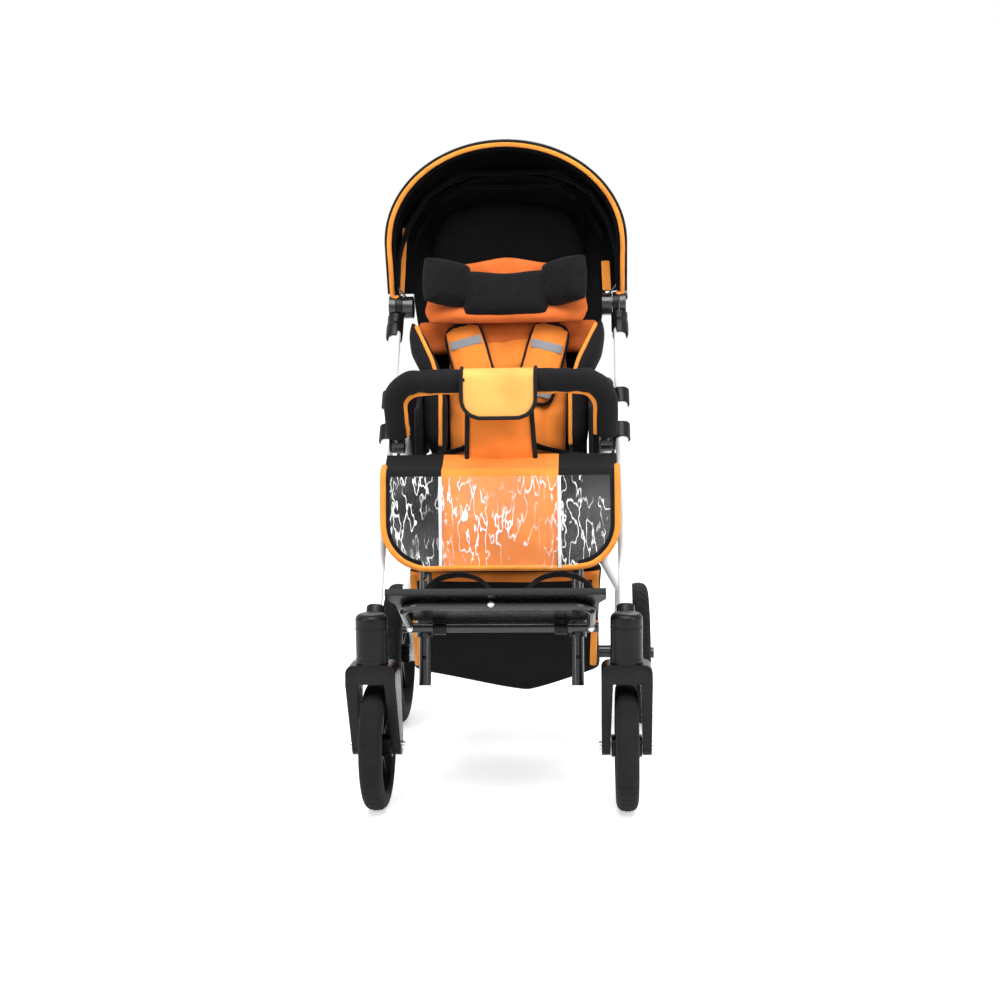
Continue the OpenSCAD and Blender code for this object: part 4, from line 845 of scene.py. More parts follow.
mid = [in_hood(-x, z) for x, z in MID_LINE] + [in_hood(x, z) for x, z in MID_LINE[::-1]]
mid = spaced(bent(mid, 42 * MM), 8 * MM)
trim("canopy_middle_bow", mid, oval(12 * MM, 6 * MM, 14, 3.0), black, "chassis", up=REARWARD)
hood_line = divided([on_hood(x, r, MID_ANGLE) for x, r in arch(7 * MM, 120)], 60)
mid = divided(mid, 60)
rows = [[a.lerp(b, k / 6) + Vector((0, 3 * MM, 0)) for a, b in zip(mid, hood_line)] for k in range(7)]
inner = sheet_object("canopy_inner_lining", rows, LINING_T, lining)
keep(inner, "chassis")
reach = max(length_of(c) for c in zip(*rows))
for side, s, x, top, width in STRIPS:
    strip = [in_hood(s * (x - 2 * MM * k / 8), mix(STRIP_FOOT, top, k / 8), -0.5 * MM) for k in range(9)]
    trim(f"canopy_side_strip_{side}", strip, oval(width, 4 * MM, 12, 3.0), piping, "chassis", up=REARWARD)
    rows = []
    for i in range(13):
        z = mix(STRIP_FOOT, FIN_TOP, i / 12)
        start = mix(0.184, 0.200, smooth((z - 1.0) / 0.05))
        rows.append([in_hood(s * mix(start, FIN_OUTER, j / 8), z, 6 * MM) for j in range(9)])
    fin = sheet_object(f"canopy_side_lining_{side}", rows, LINING_T, lining)
    keep(fin, "chassis")
    reach = length_of(column(rows, 8))


# Rear cloth panel behind the backrest, and the curtain from it up to the rear bow

PANEL_ROWS = ((0.062, 0.152), (0.20, 0.170), (0.36, 0.196), (0.46, 0.196), (0.54, 0.152), (0.586, 0.100))
CURTAIN_FOOT = 0.42
CURTAIN_LOW_R = 0.100
CURTAIN_ANGLE = 120
CURTAIN_X = 0.214
panel_low, panel_high = local_box("canopy_back_panel", BACK)
PANEL_Y = (panel_low.y + panel_high.y) / 2
span = curve([(h, w, 0) for h, w in PANEL_ROWS], 6)
rows = []
for p in span:
    row = []
    for j in range(41):
        u = j / 20 - 1
        wave = ripple((u * p.y, 0, p.x), 0.07, 4) * 3 * MM * (1 - u * u)
        row.append(BACK @ Vector((u * p.y, PANEL_Y + wave + 2 * MM, p.x)))
    rows.append(row)
panel = sheet_object("back_panel_cloth", rows, 2.0 * MM, black)
keep(panel, "backrest", ["canopy_back_panel"])

up_side = [(p.x, p.y) for p in span if p.x >= CURTAIN_FOOT]
low_line = [BACK @ Vector((-w, PANEL_Y, h)) for h, w in up_side]
low_line += [BACK @ Vector((w, PANEL_Y, h)) for h, w in up_side[::-1]]
low_line = divided(low_line, 60)
top_line = [on_hood(x, r, CURTAIN_ANGLE) for x, r in arch(-7 * MM, 120) if r > CURTAIN_LOW_R]
top_line = divided([Vector((max(-CURTAIN_X, min(CURTAIN_X, p.x)), p.y, p.z)) for p in top_line], 60)
rows = []
for k in range(11):
    t = k / 10
    puff = Vector((0, 5 * MM, 2 * MM)) * math.sin(math.pi * t)
    rows.append([a.lerp(b, t) + puff for a, b in zip(low_line, top_line)])
curtain = sheet_object("back_panel_curtain", rows, LINING_T, lining)
keep(curtain, "backrest")
reach = max(length_of(c) for c in zip(*rows))
trim("back_panel_binding", low_line[::2], ROUND_BINDING, binding, "backrest")


# Backrest pads


def front_pad(name, node, mat, grow, crown, corner):
    """Stuffed pad over a CAD pad of the backrest, a touch larger than it."""
    a, b = local_box(node, BACK)
    centre = (a + b) / 2
    m = moved(BACK, centre.x, b.y, centre.z) @ FACING
    w, l = b.x - a.x + grow, b.z - a.z
    return pillow(name, m, w, l, (b.y - a.y) - crown, crown, mat, 30, corner), m, w, l


pad, m, w, l = front_pad("back_cushion_pad", "back_cushion", orange, 8 * MM, 14 * MM, 0.2)
BACK_SEAM = w * 0.31
BACK_CROSS = l * 0.12


def back_seams(p):
    """Two seams up the cushion and one across it."""
    across = bell(p.y - BACK_CROSS, 6 * MM) * (1 if abs(p.x) < BACK_SEAM else 0.4)
    lines = bell(abs(p.x) - BACK_SEAM, 6 * MM) + across
    if p.z > 10 * MM:
        p.z += 3.0 * MM * ripple(p, 0.045, 1) - 4.5 * MM * min(1.0, lines)
    return p


keep(stuffed(pad, 5 * MM, 4.0, 5 * MM, m, back_seams), "backrest", ["back_cushion"])


def upper_creases(p):
    if p.z > 8 * MM:
        p.z += 1.5 * MM * ripple(p, 0.04, 3)
    return p


pad, m, *_ = front_pad("upper_back_pad_soft", "upper_back_pad", lining, 6 * MM, 8 * MM, 0.75)
keep(stuffed(pad, 5 * MM, 4.0, 4 * MM, m, upper_creases), "backrest", ["upper_back_pad"])

YOKE_W = 0.366
YOKE_LOW, YOKE_HIGH = 0.222, 0.291


def yoke_creases(p):
    if p.z > 6 * MM:
        p.z += 2.0 * MM * ripple((p.x, p.y * 0.5, 0), 0.03, 16)
    return p


m = moved(BACK, 0, -30 * MM, (YOKE_LOW + YOKE_HIGH) / 2) @ FACING
# Painted shade: the yoke pad takes the darker copy of the orange cloth.
pad = pillow("shoulder_yoke_pad", m, YOKE_W, YOKE_HIGH - YOKE_LOW, 22 * MM, 8 * MM, shaded_orange, 32, 0.15)
keep(stuffed(pad, 5 * MM, 2.0, 3 * MM, m, yoke_creases), "backrest", ())


# Lateral bolsters

BOLSTER_INNER = ((0.0, 0.121), (0.47, 0.121), (0.68, 0.137), (1.0, 0.176))
BOLSTER_OUTER = ((0.0, 0.156), (0.58, 0.157), (0.78, 0.186), (1.0, 0.200))
BOLSTER_STEPS = 30
bolster_low, bolster_high = local_box("lateral_pads", BACK)
bolster_low.z -= 28 * MM


def along(stops, t):
    """Value between the stops."""
    for (a, x), (b, y) in zip(stops, stops[1:]):
        if t <= b:
            return mix(x, y, (t - a) / (b - a))
    return stops[-1][1]


def bolster_depth(t):
    return (bolster_high.y - bolster_low.y) * (1 - 0.22 * smooth((t - 0.6) / 0.4))


def on_bolster(x, y, t):
    return BACK @ Vector((x, y, mix(bolster_low.z, bolster_high.z, t)))


def lateral(side, s):
    """Side bolster that widens towards its top and closes at both ends."""
    rings = []
    for k in range(BOLSTER_STEPS + 1):
        t = k / BOLSTER_STEPS
        inner, outer = along(BOLSTER_INNER, t), along(BOLSTER_OUTER, t)
        near = min(t, 1 - t) / 0.12
        close = math.sin(math.pi / 2 * near) if near < 1 else 1.0
        thick = (outer - inner) * (0.35 + 0.65 * close)
        depth = bolster_depth(t) * (0.80 + 0.20 * close)
        ring = []
        for u, v in oval(1.0, 1.0, 28, 3.2):
            wob = 1 + 0.05 * ripple((u, v, t * 6), 0.6, 5 + s)
            x = (inner + outer) / 2 + u * thick * wob
            ring.append(on_bolster(s * x, bolster_high.y - depth / 2 + v * depth, t))
        rings.append(ring)
    return mesh_object(f"lateral_bolster_{side}", *skin(rings), black)


def lateral_line(s, front, inset):
    pts = []
    for k in range(11):
        t = mix(0.04, 0.97, k / 10)
        y = bolster_high.y - bolster_depth(t) * front
        pts.append(on_bolster(s * (along(BOLSTER_INNER, t) + inset), y, t))
    return spaced(curve(pts, 6), 6 * MM)


for side, s in SIDES:
    bolster = stuffed(lateral(side, s), 5 * MM, 3.0, 4 * MM)
    keep(bolster, "backrest", on_left(s, "lateral_pads"))
    line = lateral_line(s, 0.955, 4 * MM)
    trim(f"lateral_piping_{side}", line, oval(8 * MM, 8 * MM, 12), piping, "backrest")


# Shoulder pads with binding and reflective strips

SHOULDER_X = 0.070
SHOULDER_TURN = 15
SHOULDER_W = 76 * MM
SHOULDER_T = 11 * MM
SHOULDER_CROWN = 5 * MM
STRIP_LIFT = 3.2 * MM
STRIP_SHARES = {"left": (0.20, -0.36), "right": (0.26, -0.30)}
shoulder_low, shoulder_high = local_box("shoulder_pads", BACK)
SHOULDER_L = shoulder_high.z - shoulder_low.z


def drape(p):
    """The pad follows the chest and has a seam near each edge."""
    if p.z > 5 * MM:
        p.z -= 2.5 * MM * bell(abs(p.x) - SHOULDER_W * 0.34, 4 * MM)
    p.z -= 3 * MM * smooth((-p.y / SHOULDER_L - 0.2) / 0.5)
    return p


for side, s in SIDES:
    turn = Matrix.Rotation(math.radians(SHOULDER_TURN * s), 4, "Y")
    centre_z = (shoulder_low.z + shoulder_high.z) / 2
    m = moved(BACK, SHOULDER_X * s, shoulder_high.y - 1 * MM, centre_z) @ turn @ FACING
    out = m.col[2].xyz
    form = (SHOULDER_W, SHOULDER_L, SHOULDER_T, SHOULDER_CROWN)
    pad = pillow(f"shoulder_pad_{side}", m, *form, orange, 26, 0.35)
    stuffed(pad, 4 * MM, 3.0, 3 * MM, m, drape)
    keep(pad, "backrest", on_left(s, "shoulder_pads"))
    ring = []
    for x, y in squarish(44, 5):
        ring.append(m @ Vector((x * SHOULDER_W * 0.485, y * SHOULDER_L * 0.49, SHOULDER_T * 0.55)))
    trim(f"shoulder_binding_{side}", ring, ROUND_BINDING, binding, "backrest", up=out, loop=True)
    for number, share in enumerate(STRIP_SHARES[side]):
        strip = []
        for k in range(13):
            u = k / 6 - 1
            rise = SHOULDER_CROWN * (1 - abs(u) ** 3) ** 0.6 * 0.75
            height = SHOULDER_T + rise + STRIP_LIFT
            strip.append(m @ Vector((u * SHOULDER_W * 0.42, SHOULDER_L * share, height)))
        band = oval(17 * MM, 1.6 * MM, 12, 4.0)
        trim(f"shoulder_reflector_{side}_{number}", strip, band, reflector, "backrest", up=out)
    web = [
        m @ Vector((0, SHOULDER_L * 0.46, SHOULDER_T)),
        m @ Vector((0, SHOULDER_L * 0.60, SHOULDER_T * 0.7)),
        m @ Vector((-s * 4 * MM, SHOULDER_L * 0.78, -2 * MM)),
    ]
    web = spaced(curve(web, 8), 6 * MM)
    trim(f"shoulder_webbing_{side}", web, oval(25 * MM, 2.4 * MM, 12, 4.0), tape, "backrest", up=out)


# Headrest: a middle block between two wings, before an orange liner

HEAD_MID_W, HEAD_MID_L, HEAD_MID_Z = 0.170, 0.096, 0.330
WING_W, WING_L, WING_T, WING_TURN = 0.108, 0.092, 28 * MM, 40
WING_AT = (0.123, -0.124, 0.348)
LINER_W, LINER_LOW, LINER_HIGH = 0.316, 0.268, 0.412
LINER_L = LINER_HIGH - LINER_LOW


def block_form(p):
    """The top of the block dips in the middle."""
    p.y -= 9 * MM * smooth(p.y / (HEAD_MID_L / 2)) * bell(p.x, 0.05)
    return p


block_back = local_box("headrest_cushion", BACK)[1].y
m = moved(BACK, 0, block_back, HEAD_MID_Z) @ FACING
block = pillow("headrest_middle_pad", m, HEAD_MID_W, HEAD_MID_L, 32 * MM, 9 * MM, mesh_knit, 30, 0.18)
keep(stuffed(block, 5 * MM, 3.0, 4 * MM, m, block_form), "headrest", ["headrest_cushion"])
for side, s in SIDES:
    turn = Matrix.Rotation(math.radians(-WING_TURN * s), 4, "Z")
    m = moved(BACK, WING_AT[0] * s, WING_AT[1] + WING_T / 2, WING_AT[2]) @ turn @ FACING
    wing = pillow(f"headrest_wing_{side}", m, WING_W, WING_L, WING_T, 9 * MM, mesh_knit, 28, 0.3)
    keep(stuffed(wing, 5 * MM, 3.0, 4 * MM), "headrest", ())
    line = []
    for k in range(15):
        u = k / 7 - 1
        line.append(m @ Vector((u * WING_W * 0.45, WING_L / 2 - 3 * MM - 9 * MM * u ** 4, WING_T * 0.45)))
    line = spaced(curve(line, 4), 5 * MM)
    trim(f"headrest_wing_piping_{side}", line, oval(5 * MM, 5 * MM, 10), piping, "headrest")


def liner_form(p):
    """An arch over the middle and a flared lower panel that comes forwards."""
    up = smooth(p.y / (LINER_L / 2))
    down = smooth((-p.y - LINER_L * 0.1) / (LINER_L * 0.3))
    p.x *= 1 - 0.42 * up + down * (0.14 + 0.30 * p.y / LINER_L)
    p.y -= up * 12 * MM * (1 - bell(p.x, 0.05))
    p.z += down * 22 * MM + 1.5 * MM * ripple(p, 0.03, 6)
    return p


a, b = local_box("headrest_liner", BACK)
m = moved(BACK, 0, b.y, (LINER_LOW + LINER_HIGH) / 2) @ FACING
# Painted shade: the liner takes the darker copy of the orange cloth.
liner = pillow("headrest_liner_pad", m, LINER_W, LINER_L, b.y - a.y, 3 * MM, shaded_orange, 34, 0.2)
keep(stuffed(liner, 5 * MM, 2.0, 3 * MM, m, liner_form), "headrest", ["headrest_liner"])


# Seat, its sides and the armrests

SEAT_CROWN = 18 * MM
SEAT_SEAM = 85 * MM
SIDE_TOP = 0.800
SKIRT_X, SKIRT_Y, SKIRT_Z = (0.167, 0.209), 62 * MM, (0.600, 0.733)
ARMREST_STEPS = 34


def seat_seams(p):
    if p.z > 20 * MM:
        p.z += 2 * MM * ripple(p, 0.05, 8) - 5 * MM * bell(abs(p.x) - SEAT_SEAM, 6 * MM)
    return p


low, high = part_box("seat_cushion")
m = Matrix.Translation(((low.x + high.x) / 2, (low.y + high.y) / 2, low.z))
size = high - low
seat = pillow("seat_cushion_pad", m, size.x, size.y, size.z - 8 * MM, SEAT_CROWN, black, 32, 0.12)
keep(stuffed(seat, 6 * MM, 4.0, 2 * MM, m, seat_seams), "chassis", ["seat_cushion"])


def skirt(side, s):
    """Cloth that hangs below the rear half of an armrest."""
    rows = []
    for i in range(15):
        z = mix(*SKIRT_Z, i / 14)
        row = []
        for j in range(11):
            x = mix(*SKIRT_X, j / 10)
            row.append(Vector((s * x, SKIRT_Y + 2.5 * MM * ripple((x, s, z), 0.03, 18), z)))
        rows.append(row)
    obj = sheet_object(f"armrest_skirt_{side}", rows, 2.0 * MM, black)
    keep(obj, "chassis")


def side_panel(side, s):
    """Thin padded side with a sloping front and a rolled top edge."""
    low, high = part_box("side_panels")
    front_top = mix(low.z, SIDE_TOP, 0.5)
    rows = []
    for i in range(31):
        v = i / 30
        row = []
        for j in range(31):
            u = j / 30
            top = mix(front_top, SIDE_TOP, smooth(u * 1.5 - 0.1))
            inside = smooth(min(u, 1 - u, v, 1 - v) / 0.1)
            wave = ripple((u * 3, v * 3, s), 1.0, 9) * 1.5 * MM * inside
            row.append(Vector((s * (high.x + wave), mix(low.y, high.y, u), mix(low.z, top, v))))
        rows.append(row)
    obj = sheet_object(f"side_panel_{side}", rows, 5 * MM * s, black)
    keep(obj, "chassis", on_left(s, "side_panels"))
    edge = spaced(curve((column(rows, 0) + rows[-1][1:])[::3], 5), 6 * MM)
    edge = [p - Vector((s * 2.5 * MM, 0, 0)) for p in edge]
    trim(f"side_panel_roll_{side}", edge, ROUND_BINDING, binding, "chassis", up=ACROSS)


def armrest(side, s):
    """Foam armrest pad with rounded ends."""
    pts = [v.co for v in NODES["armrest_pads"].data.vertices if v.co.x * s > 0]
    low, high = (Vector(pick(p[i] for p in pts) for i in range(3)) for pick in (min, max))
    centre, size = (low + high) / 2, high - low
    rings = []
    for k in range(ARMREST_STEPS + 1):
        q = math.sin(math.pi * (k / ARMREST_STEPS - 0.5))
        y = mix(low.y, high.y, (q + 1) / 2)
        end = max(0.0, 1 - max(0.0, (abs(q) - 0.84) / 0.16) ** 2) ** 0.5
        grow = 0.25 + 0.75 * end
        wide = size.x * grow * (1 - 0.06 * bell(q + 0.2, 0.5))
        tall = size.z * grow
        rings.append([Vector((centre.x + a * wide, y, centre.z + b * tall)) for a, b in oval(1, 1, 28, 3.4)])
    return mesh_object(f"armrest_pad_{side}", *skin(rings), foam)


for side, s in SIDES:
    skirt(side, s)
    side_panel(side, s)
for side, s in SIDES:
    keep(armrest(side, s), "chassis", on_left(s, "armrest_pads"))


# Apron, its clear cover and the strap on it

APRON_W = 0.420
APRON_BEND = 22 * MM
APRON_LEAN = 7
APRON_CORNER = 80 * MM
APRON_LAP = 60 * MM
APRON_DROP = 160 * MM
APRON_T = 3.0 * MM
LAP_RISE = 20 * MM
PANEL_HALF = 0.1065
APRON_BACK, APRON_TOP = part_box("seat_apron")[1].yz
APRON_STEPS = 46
APRON_ACROSS = 64


def apron_profile(lift, first):
    """Side view of the apron from its rear edge over the bend to its foot: (y, z, way along)."""
    lean = math.radians(APRON_LEAN)
    turn = math.radians(90 - APRON_LEAN)
    flat = APRON_LAP - APRON_BEND
    round_len = APRON_BEND * turn
    total = flat + round_len + APRON_DROP
    r = APRON_BEND + lift
    bend_y = APRON_BACK - flat
    bend_z = APRON_TOP - APRON_BEND
    out = []
    for k in range(APRON_STEPS + 1):
        d = mix(first, total, k / APRON_STEPS)
        if d < flat:
            y, z = APRON_BACK - d, APRON_TOP + lift + LAP_RISE * (1 - d / flat) ** 1.4
        else:
            a = min((d - flat) / APRON_BEND, turn)
            e = max(d - flat - round_len, 0.0)
            y = bend_y - r * math.sin(a) - e * math.sin(lean)
            z = bend_z + r * math.cos(a) - e * math.cos(lean)
        out.append((y, z, d / total))
    return out, total


def apron_half(d_left, inset):
    """Half width at a way above the foot, with round lower corners."""
    c = APRON_CORNER - inset
    half = APRON_W / 2 - inset
    if d_left >= c:
        return half
    return half - c + math.sqrt(max(0.0, c * c - (c - d_left) ** 2))


def apron_rows(lift, inset, first, wave):
    prof, total = apron_profile(lift, first)
    rows = []
    last = total - inset
    for y, z, t in prof:
        half = apron_half(max(last - min(t * total, last), 0.0005), inset)
        hang = smooth((t * total - APRON_LAP) / 0.08)
        row = []
        for j in range(APRON_ACROSS + 1):
            u = j / APRON_ACROSS * 2 - 1
            fold = wave * hang * ripple((u * 2.0, t * 2.2, lift * 40), 0.55, 11)
            fold += 0.5 * wave * hang * ripple((u * 5, t * 2, 1), 0.5, 12)
            row.append(Vector((u * half, y - fold - 2 * MM * hang * abs(u), z)))
        rows.append(row)
    return rows, total


rows, apron_len = apron_rows(0.0, 0.0, 0.0, 2.5 * MM)


def apron_pick(i, j):
    """Orange between the two seams, black elsewhere."""
    if i is None:
        return 0
    return 1 if abs(rows[i][j].x + rows[i][j + 1].x) / 2 < PANEL_HALF else 0


apron = sheet_object("apron_cloth", rows, -APRON_T, [black, orange], apron_pick)
keep(apron, "chassis", ["seat_apron"])
hem = column(rows[6:], 0) + rows[-1][4:-4:6] + column(rows[6:], -1)[::-1]
hem = spaced(curve(hem[::2], 4), 6 * MM)
trim("apron_piping", hem, oval(11 * MM, 11 * MM, 12), piping, "chassis", up=REARWARD)
rows, _ = apron_rows(3.0 * MM, 13 * MM, 66 * MM, 5.0 * MM)
cover = sheet_object("apron_film", rows, 0.5 * MM, clear)
keep(cover, "chassis", ["apron_cover"])
for side, s in SIDES:
    line = []
    for row in rows:
        best = min(row, key=lambda p: abs(p.x - s * PANEL_HALF))
        line.append(Vector((s * PANEL_HALF, best.y - 1.2 * MM, best.z)))
    seam = oval(6 * MM, 1.4 * MM, 10, 3.0)
    trim(f"apron_weld_{side}", spaced(line, 8 * MM), seam, weld, "chassis", up=(0, -1, 0.1))

STRAP_LEAN = -17
STRAP_W = 126 * MM
STRAP_REACH = 128 * MM
low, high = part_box("crotch_strap")
STRAP = leaning(Vector((0, high.y - 5 * MM, low.z)), STRAP_LEAN)


def strap_rows(n=26, across=22):
    out = []
    for i in range(n + 1):
        v = i / n
        row = []
        for j in range(across + 1):
            u = j / across * 2 - 1
            wide = STRAP_W * mix(1.0, 0.90, v) / 2
            bow_out = -4 * MM * math.sin(math.pi * v) + 4 * MM * u * u
            row.append(STRAP @ Vector((u * wide, bow_out, v * STRAP_REACH)))
        out.append(row)
    return out


rows = strap_rows()
strap = sheet_object("crotch_strap_cloth", rows, 4.5 * MM, orange)
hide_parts("crotch_strap")
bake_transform(strap)
for side, s in SIDES:
    line = [p + Vector((0, -2 * MM, 0)) for p in column(rows, -1 if s > 0 else 0)]
    edge = tube(f"crotch_strap_binding_{side}", line, FLAT_BINDING, binding, up=FORWARD)
    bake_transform(edge)


# Bumper bar

a, b = local_box("bumper_sleeve", BUMPER)
BAR_Z = b.z - 20 * MM
BAR_X = b.x - 20 * MM
BAR_Y = (a.y + b.y) / 2
SLEEVE_LOW = a.z - 16 * MM
FLAP_R = 22.5 * MM
FLAP_HALF = 66 * MM
FLAP_DROP = 66 * MM
FLAP_CORNER = 34 * MM


def bar_point(x, z, y=0.0):
    return BUMPER @ Vector((x, BAR_Y + y, z))


def bar_path(x, low, top, y, radius, steps):
    """Path up one leg of the bar, across it and down the other leg."""
    corners = ((-x, low), (-x, top), (x, top), (x, low))
    return spaced(bent([bar_point(*p, y) for p in corners], radius, steps), 5 * MM)


bar = bar_path(BAR_X, SLEEVE_LOW, BAR_Z, 0.0, 48 * MM, 14)
rings = sweep(bar, oval(41 * MM, 39 * MM, 26, 2.3), BUMPER.col[1].xyz)
for i, ring in enumerate(rings):
    c = sum(ring, Vector()) / len(ring)
    bend = bell(min(abs(i - len(rings) * 0.27), abs(i - len(rings) * 0.73)), 9)
    for k, p in enumerate(ring):
        crease = 0.08 * ripple((i * 0.11, k * 0.25, 0), 1.0, 13) + 0.045 * math.sin(i * 0.9) * bend
        ring[k] = c + (p - c) * (1 + crease)
keep(mesh_object("bumper_sleeve_pad", *skin(rings), black), "bumper", ["bumper_sleeve"])
line = bar_path(BAR_X - 19 * MM, SLEEVE_LOW + 6 * MM, BAR_Z - 18 * MM, -9 * MM, 34 * MM, 12)
bar_up = BUMPER.col[2].xyz
line = [p + bar_up * 3.0 * MM * ripple((i * 0.2, 0, 0), 1.0, 14) for i, p in enumerate(line)]
trim("bumper_piping", line, oval(11 * MM, 4.5 * MM, 10), piping, "bumper", up=BUMPER.col[1].xyz)


def flap_rows():
    """Flap over the bar: up its back, over the top and down its front, with a round foot."""
    bar_mid = bar_point(0, BAR_Z)
    turns = [math.radians(a) for a in range(-30, 181, 10)]
    side = [(math.cos(g) * FLAP_R, math.sin(g) * FLAP_R) for g in turns]
    for k in range(1, 15):
        side.append((-FLAP_R - 3 * MM * math.sin(k / 14 * math.pi), -FLAP_DROP * k / 14))
    out = []
    for y, z in side:
        left = z - side[-1][1] if y < 0 else 1.0
        half = FLAP_HALF
        if left < FLAP_CORNER:
            rest = FLAP_CORNER - max(left, 0.0003)
            half = FLAP_HALF - FLAP_CORNER + math.sqrt(max(0.0, FLAP_CORNER ** 2 - rest ** 2))
        row = []
        for j in range(25):
            u = j / 12 - 1
            row.append(Vector((u * half, bar_mid.y + y + 1.5 * MM * u * u, bar_mid.z + z)))
        out.append(row)
    return out


rows = flap_rows()
# Painted light: the flap takes the paler, lit copy of the orange cloth.
keep(sheet_object("bumper_flap_cloth", rows, -4 * MM, lit_orange), "bumper", ["bumper_flap"])
edge = column(rows, 0) + rows[-1][2:-2:2] + column(rows, -1)[::-1]
edge = spaced([p + Vector((0, -1.5 * MM, 0)) for p in edge], 5 * MM)
trim("bumper_flap_binding", edge, FLAT_BINDING, binding, "bumper", up=ACROSS)


# Harness belts

BELT = ((0.152, 0.0, 0.608), (0.125, -0.07, 0.618), (0.07, -0.15, 0.634))
for side, s in SIDES:
    belt = [Vector((s * x, y, z)) for x, y, z in BELT]
    belt.append(middle("harness_buckle") + Vector((s * 26 * MM, 6 * MM, 4 * MM)))
    belt = spaced(curve(belt, 8), 8 * MM)
    trim(f"lap_belt_{side}", belt, oval(30 * MM, 2.4 * MM, 12, 4.0), tape, "chassis", up=(0, 0.3, 1))


# Basket

low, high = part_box("basket")
BASKET_TOP = 0.403
BASKET_SIDE_Z = 0.216
BASKET_FLARE = 12 * MM
SAG_X = 40 * MM
STRAP_YS = (-0.130, 0.0045)
BASKET_MID = Vector(((low.x + high.x) / 2, (low.y + high.y) / 2, 0))
BASKET_HALF = Vector(((high.x - low.x) / 2 - 1 * MM, (high.y - low.y) / 2 - 1 * MM, 0))
WALL_SHARES = (0.0, 0.04, 0.085, 0.2, 0.35, 0.5, 0.65, 0.8, 0.92, 1.0)
FLOOR_SHARES = (0.94, 0.8, 0.6, 0.4, 0.2, 0.05)


def basket_low(x):
    """Height of the floor, which sags to one side of the middle."""
    k = (x - low.x) / (SAG_X - low.x) if x < SAG_X else (high.x - x) / (high.x - SAG_X)
    return mix(BASKET_SIDE_Z, low.z, smooth(k) * 0.4 + k * 0.6)


def in_basket(x, y, z):
    return Vector((BASKET_MID.x + x * BASKET_HALF.x, BASKET_MID.y + y * BASKET_HALF.y, z))


def basket_rings():
    """Rings from the rim down the wall and in over the floor."""
    base = squarish(120, 9)
    rings = []
    for t in WALL_SHARES:
        ring = []
        for x, y in base:
            flare = 1 + BASKET_FLARE / BASKET_HALF.x * smooth(-y) * (1 - 0.5 * t)
            p = in_basket(x, y, 0)
            p.z = mix(BASKET_TOP, basket_low(p.x) + 3 * MM, t)
            fold = 1 - 0.02 * math.sin(math.pi * t) + 0.014 * t * ripple(p, 0.07, 15)
            crease = 2.5 * MM * math.sin(math.pi * t) * ripple((p.x * 0.5, p.y * 0.5, p.z), 0.03, 17)
            ring.append(in_basket(x * fold * flare, y * fold, p.z) + Vector((0, crease, 0)))
        rings.append(ring)
    for t in FLOOR_SHARES:
        ring = [in_basket(x * t, y * t, 0) for x, y in base]
        for p in ring:
            p.z = basket_low(p.x)
        rings.append(ring)
    return rings


rings = basket_rings()
verts, faces = skin(rings, caps=False)
n = len(rings[0])
faces.append(tuple((len(rings) - 1) * n + j for j in range(n)))
bag = mesh_object("basket_cloth", verts, faces, [black, orange])
for p in bag.data.polygons:
    if p.center.z > BASKET_TOP - 16 * MM and p.center.y < low.y + 30 * MM:
        p.material_index = 1
wall = bag.modifiers.new("wall", "SOLIDIFY")
wall.thickness = 2.2 * MM
first_face = bag.data.polygons[0]
wall.offset = -1.0 if first_face.normal.dot(first_face.center - BASKET_MID) > 0 else 1.0
keep(bag, "chassis", ["basket"])
for side, s in SIDES:
    x = s * (high.x - 4 * MM)
    line = [
        Vector((x, low.y - 1 * MM, BASKET_TOP - 4 * MM)),
        Vector((x * 0.985, low.y + 3 * MM, (BASKET_TOP + BASKET_SIDE_Z) / 2)),
        Vector((x * 0.965, low.y + 3 * MM, BASKET_SIDE_Z + 10 * MM)),
    ]
    line = spaced(curve(line, 6), 8 * MM)
    trim(f"basket_trim_{side}", line, oval(13 * MM, 5 * MM, 10, 3.0), piping, "chassis", up=FORWARD)
    x = s * (high.x - 1.2 * MM)
    for number, y in enumerate(STRAP_YS):
        line = [Vector((x, y, z)) for z in (BASKET_TOP - 30 * MM, 0.47, high.z + 2 * MM)]
        line = spaced(curve(line, 4), 9 * MM)
        band = oval(2.4 * MM, 28 * MM, 12, 4.0)
        trim(f"basket_strap_{side}_{number}", line, band, tape, "chassis", up=REARWARD)


# Footrest details

LOOPS = (("left", 108 * MM), ("right", -70 * MM))
LOOP_HALF = 63 * MM


def foot_loop(name, x, rise, m, y):
    path = []
    for k in range(29):
        g = math.pi * k / 28
        path.append(m @ Vector((x - LOOP_HALF * math.cos(g), y, 2 * MM + rise * math.sin(g) ** 0.8)))
    return tube(name, path, oval(25 * MM, 3.2 * MM, 14, 4.0), tape, up=m.col[2].xyz * -1, round_ends=False)


a, b = local_box("foot_straps", FOOT)
base = moved(FOOT, 0, 0, a.z)
loops = [foot_loop(f"foot_loop_{n}", x, b.z - a.z - 4 * MM, base, (a.y + b.y) / 2) for n, x in LOOPS]
keep(joined("foot_loops", loops), "footboard", ["foot_straps"])


def bolt_head(name, at, facing, d, h):
    """Domed bolt head on a washer."""
    z = Vector(facing).normalized()
    x = z.orthogonal().normalized()
    shares = ((1.4, 0), (1.4, 0.22), (1.3, 0.28), (1.0, 0.3), (1.0, 0.7), (0.75, 1.0), (0.3, 1.08))
    return lathe(name, [(d / 2 * a, h * b) for a, b in shares], axes(x, z.cross(x), z, at), steel, 24)


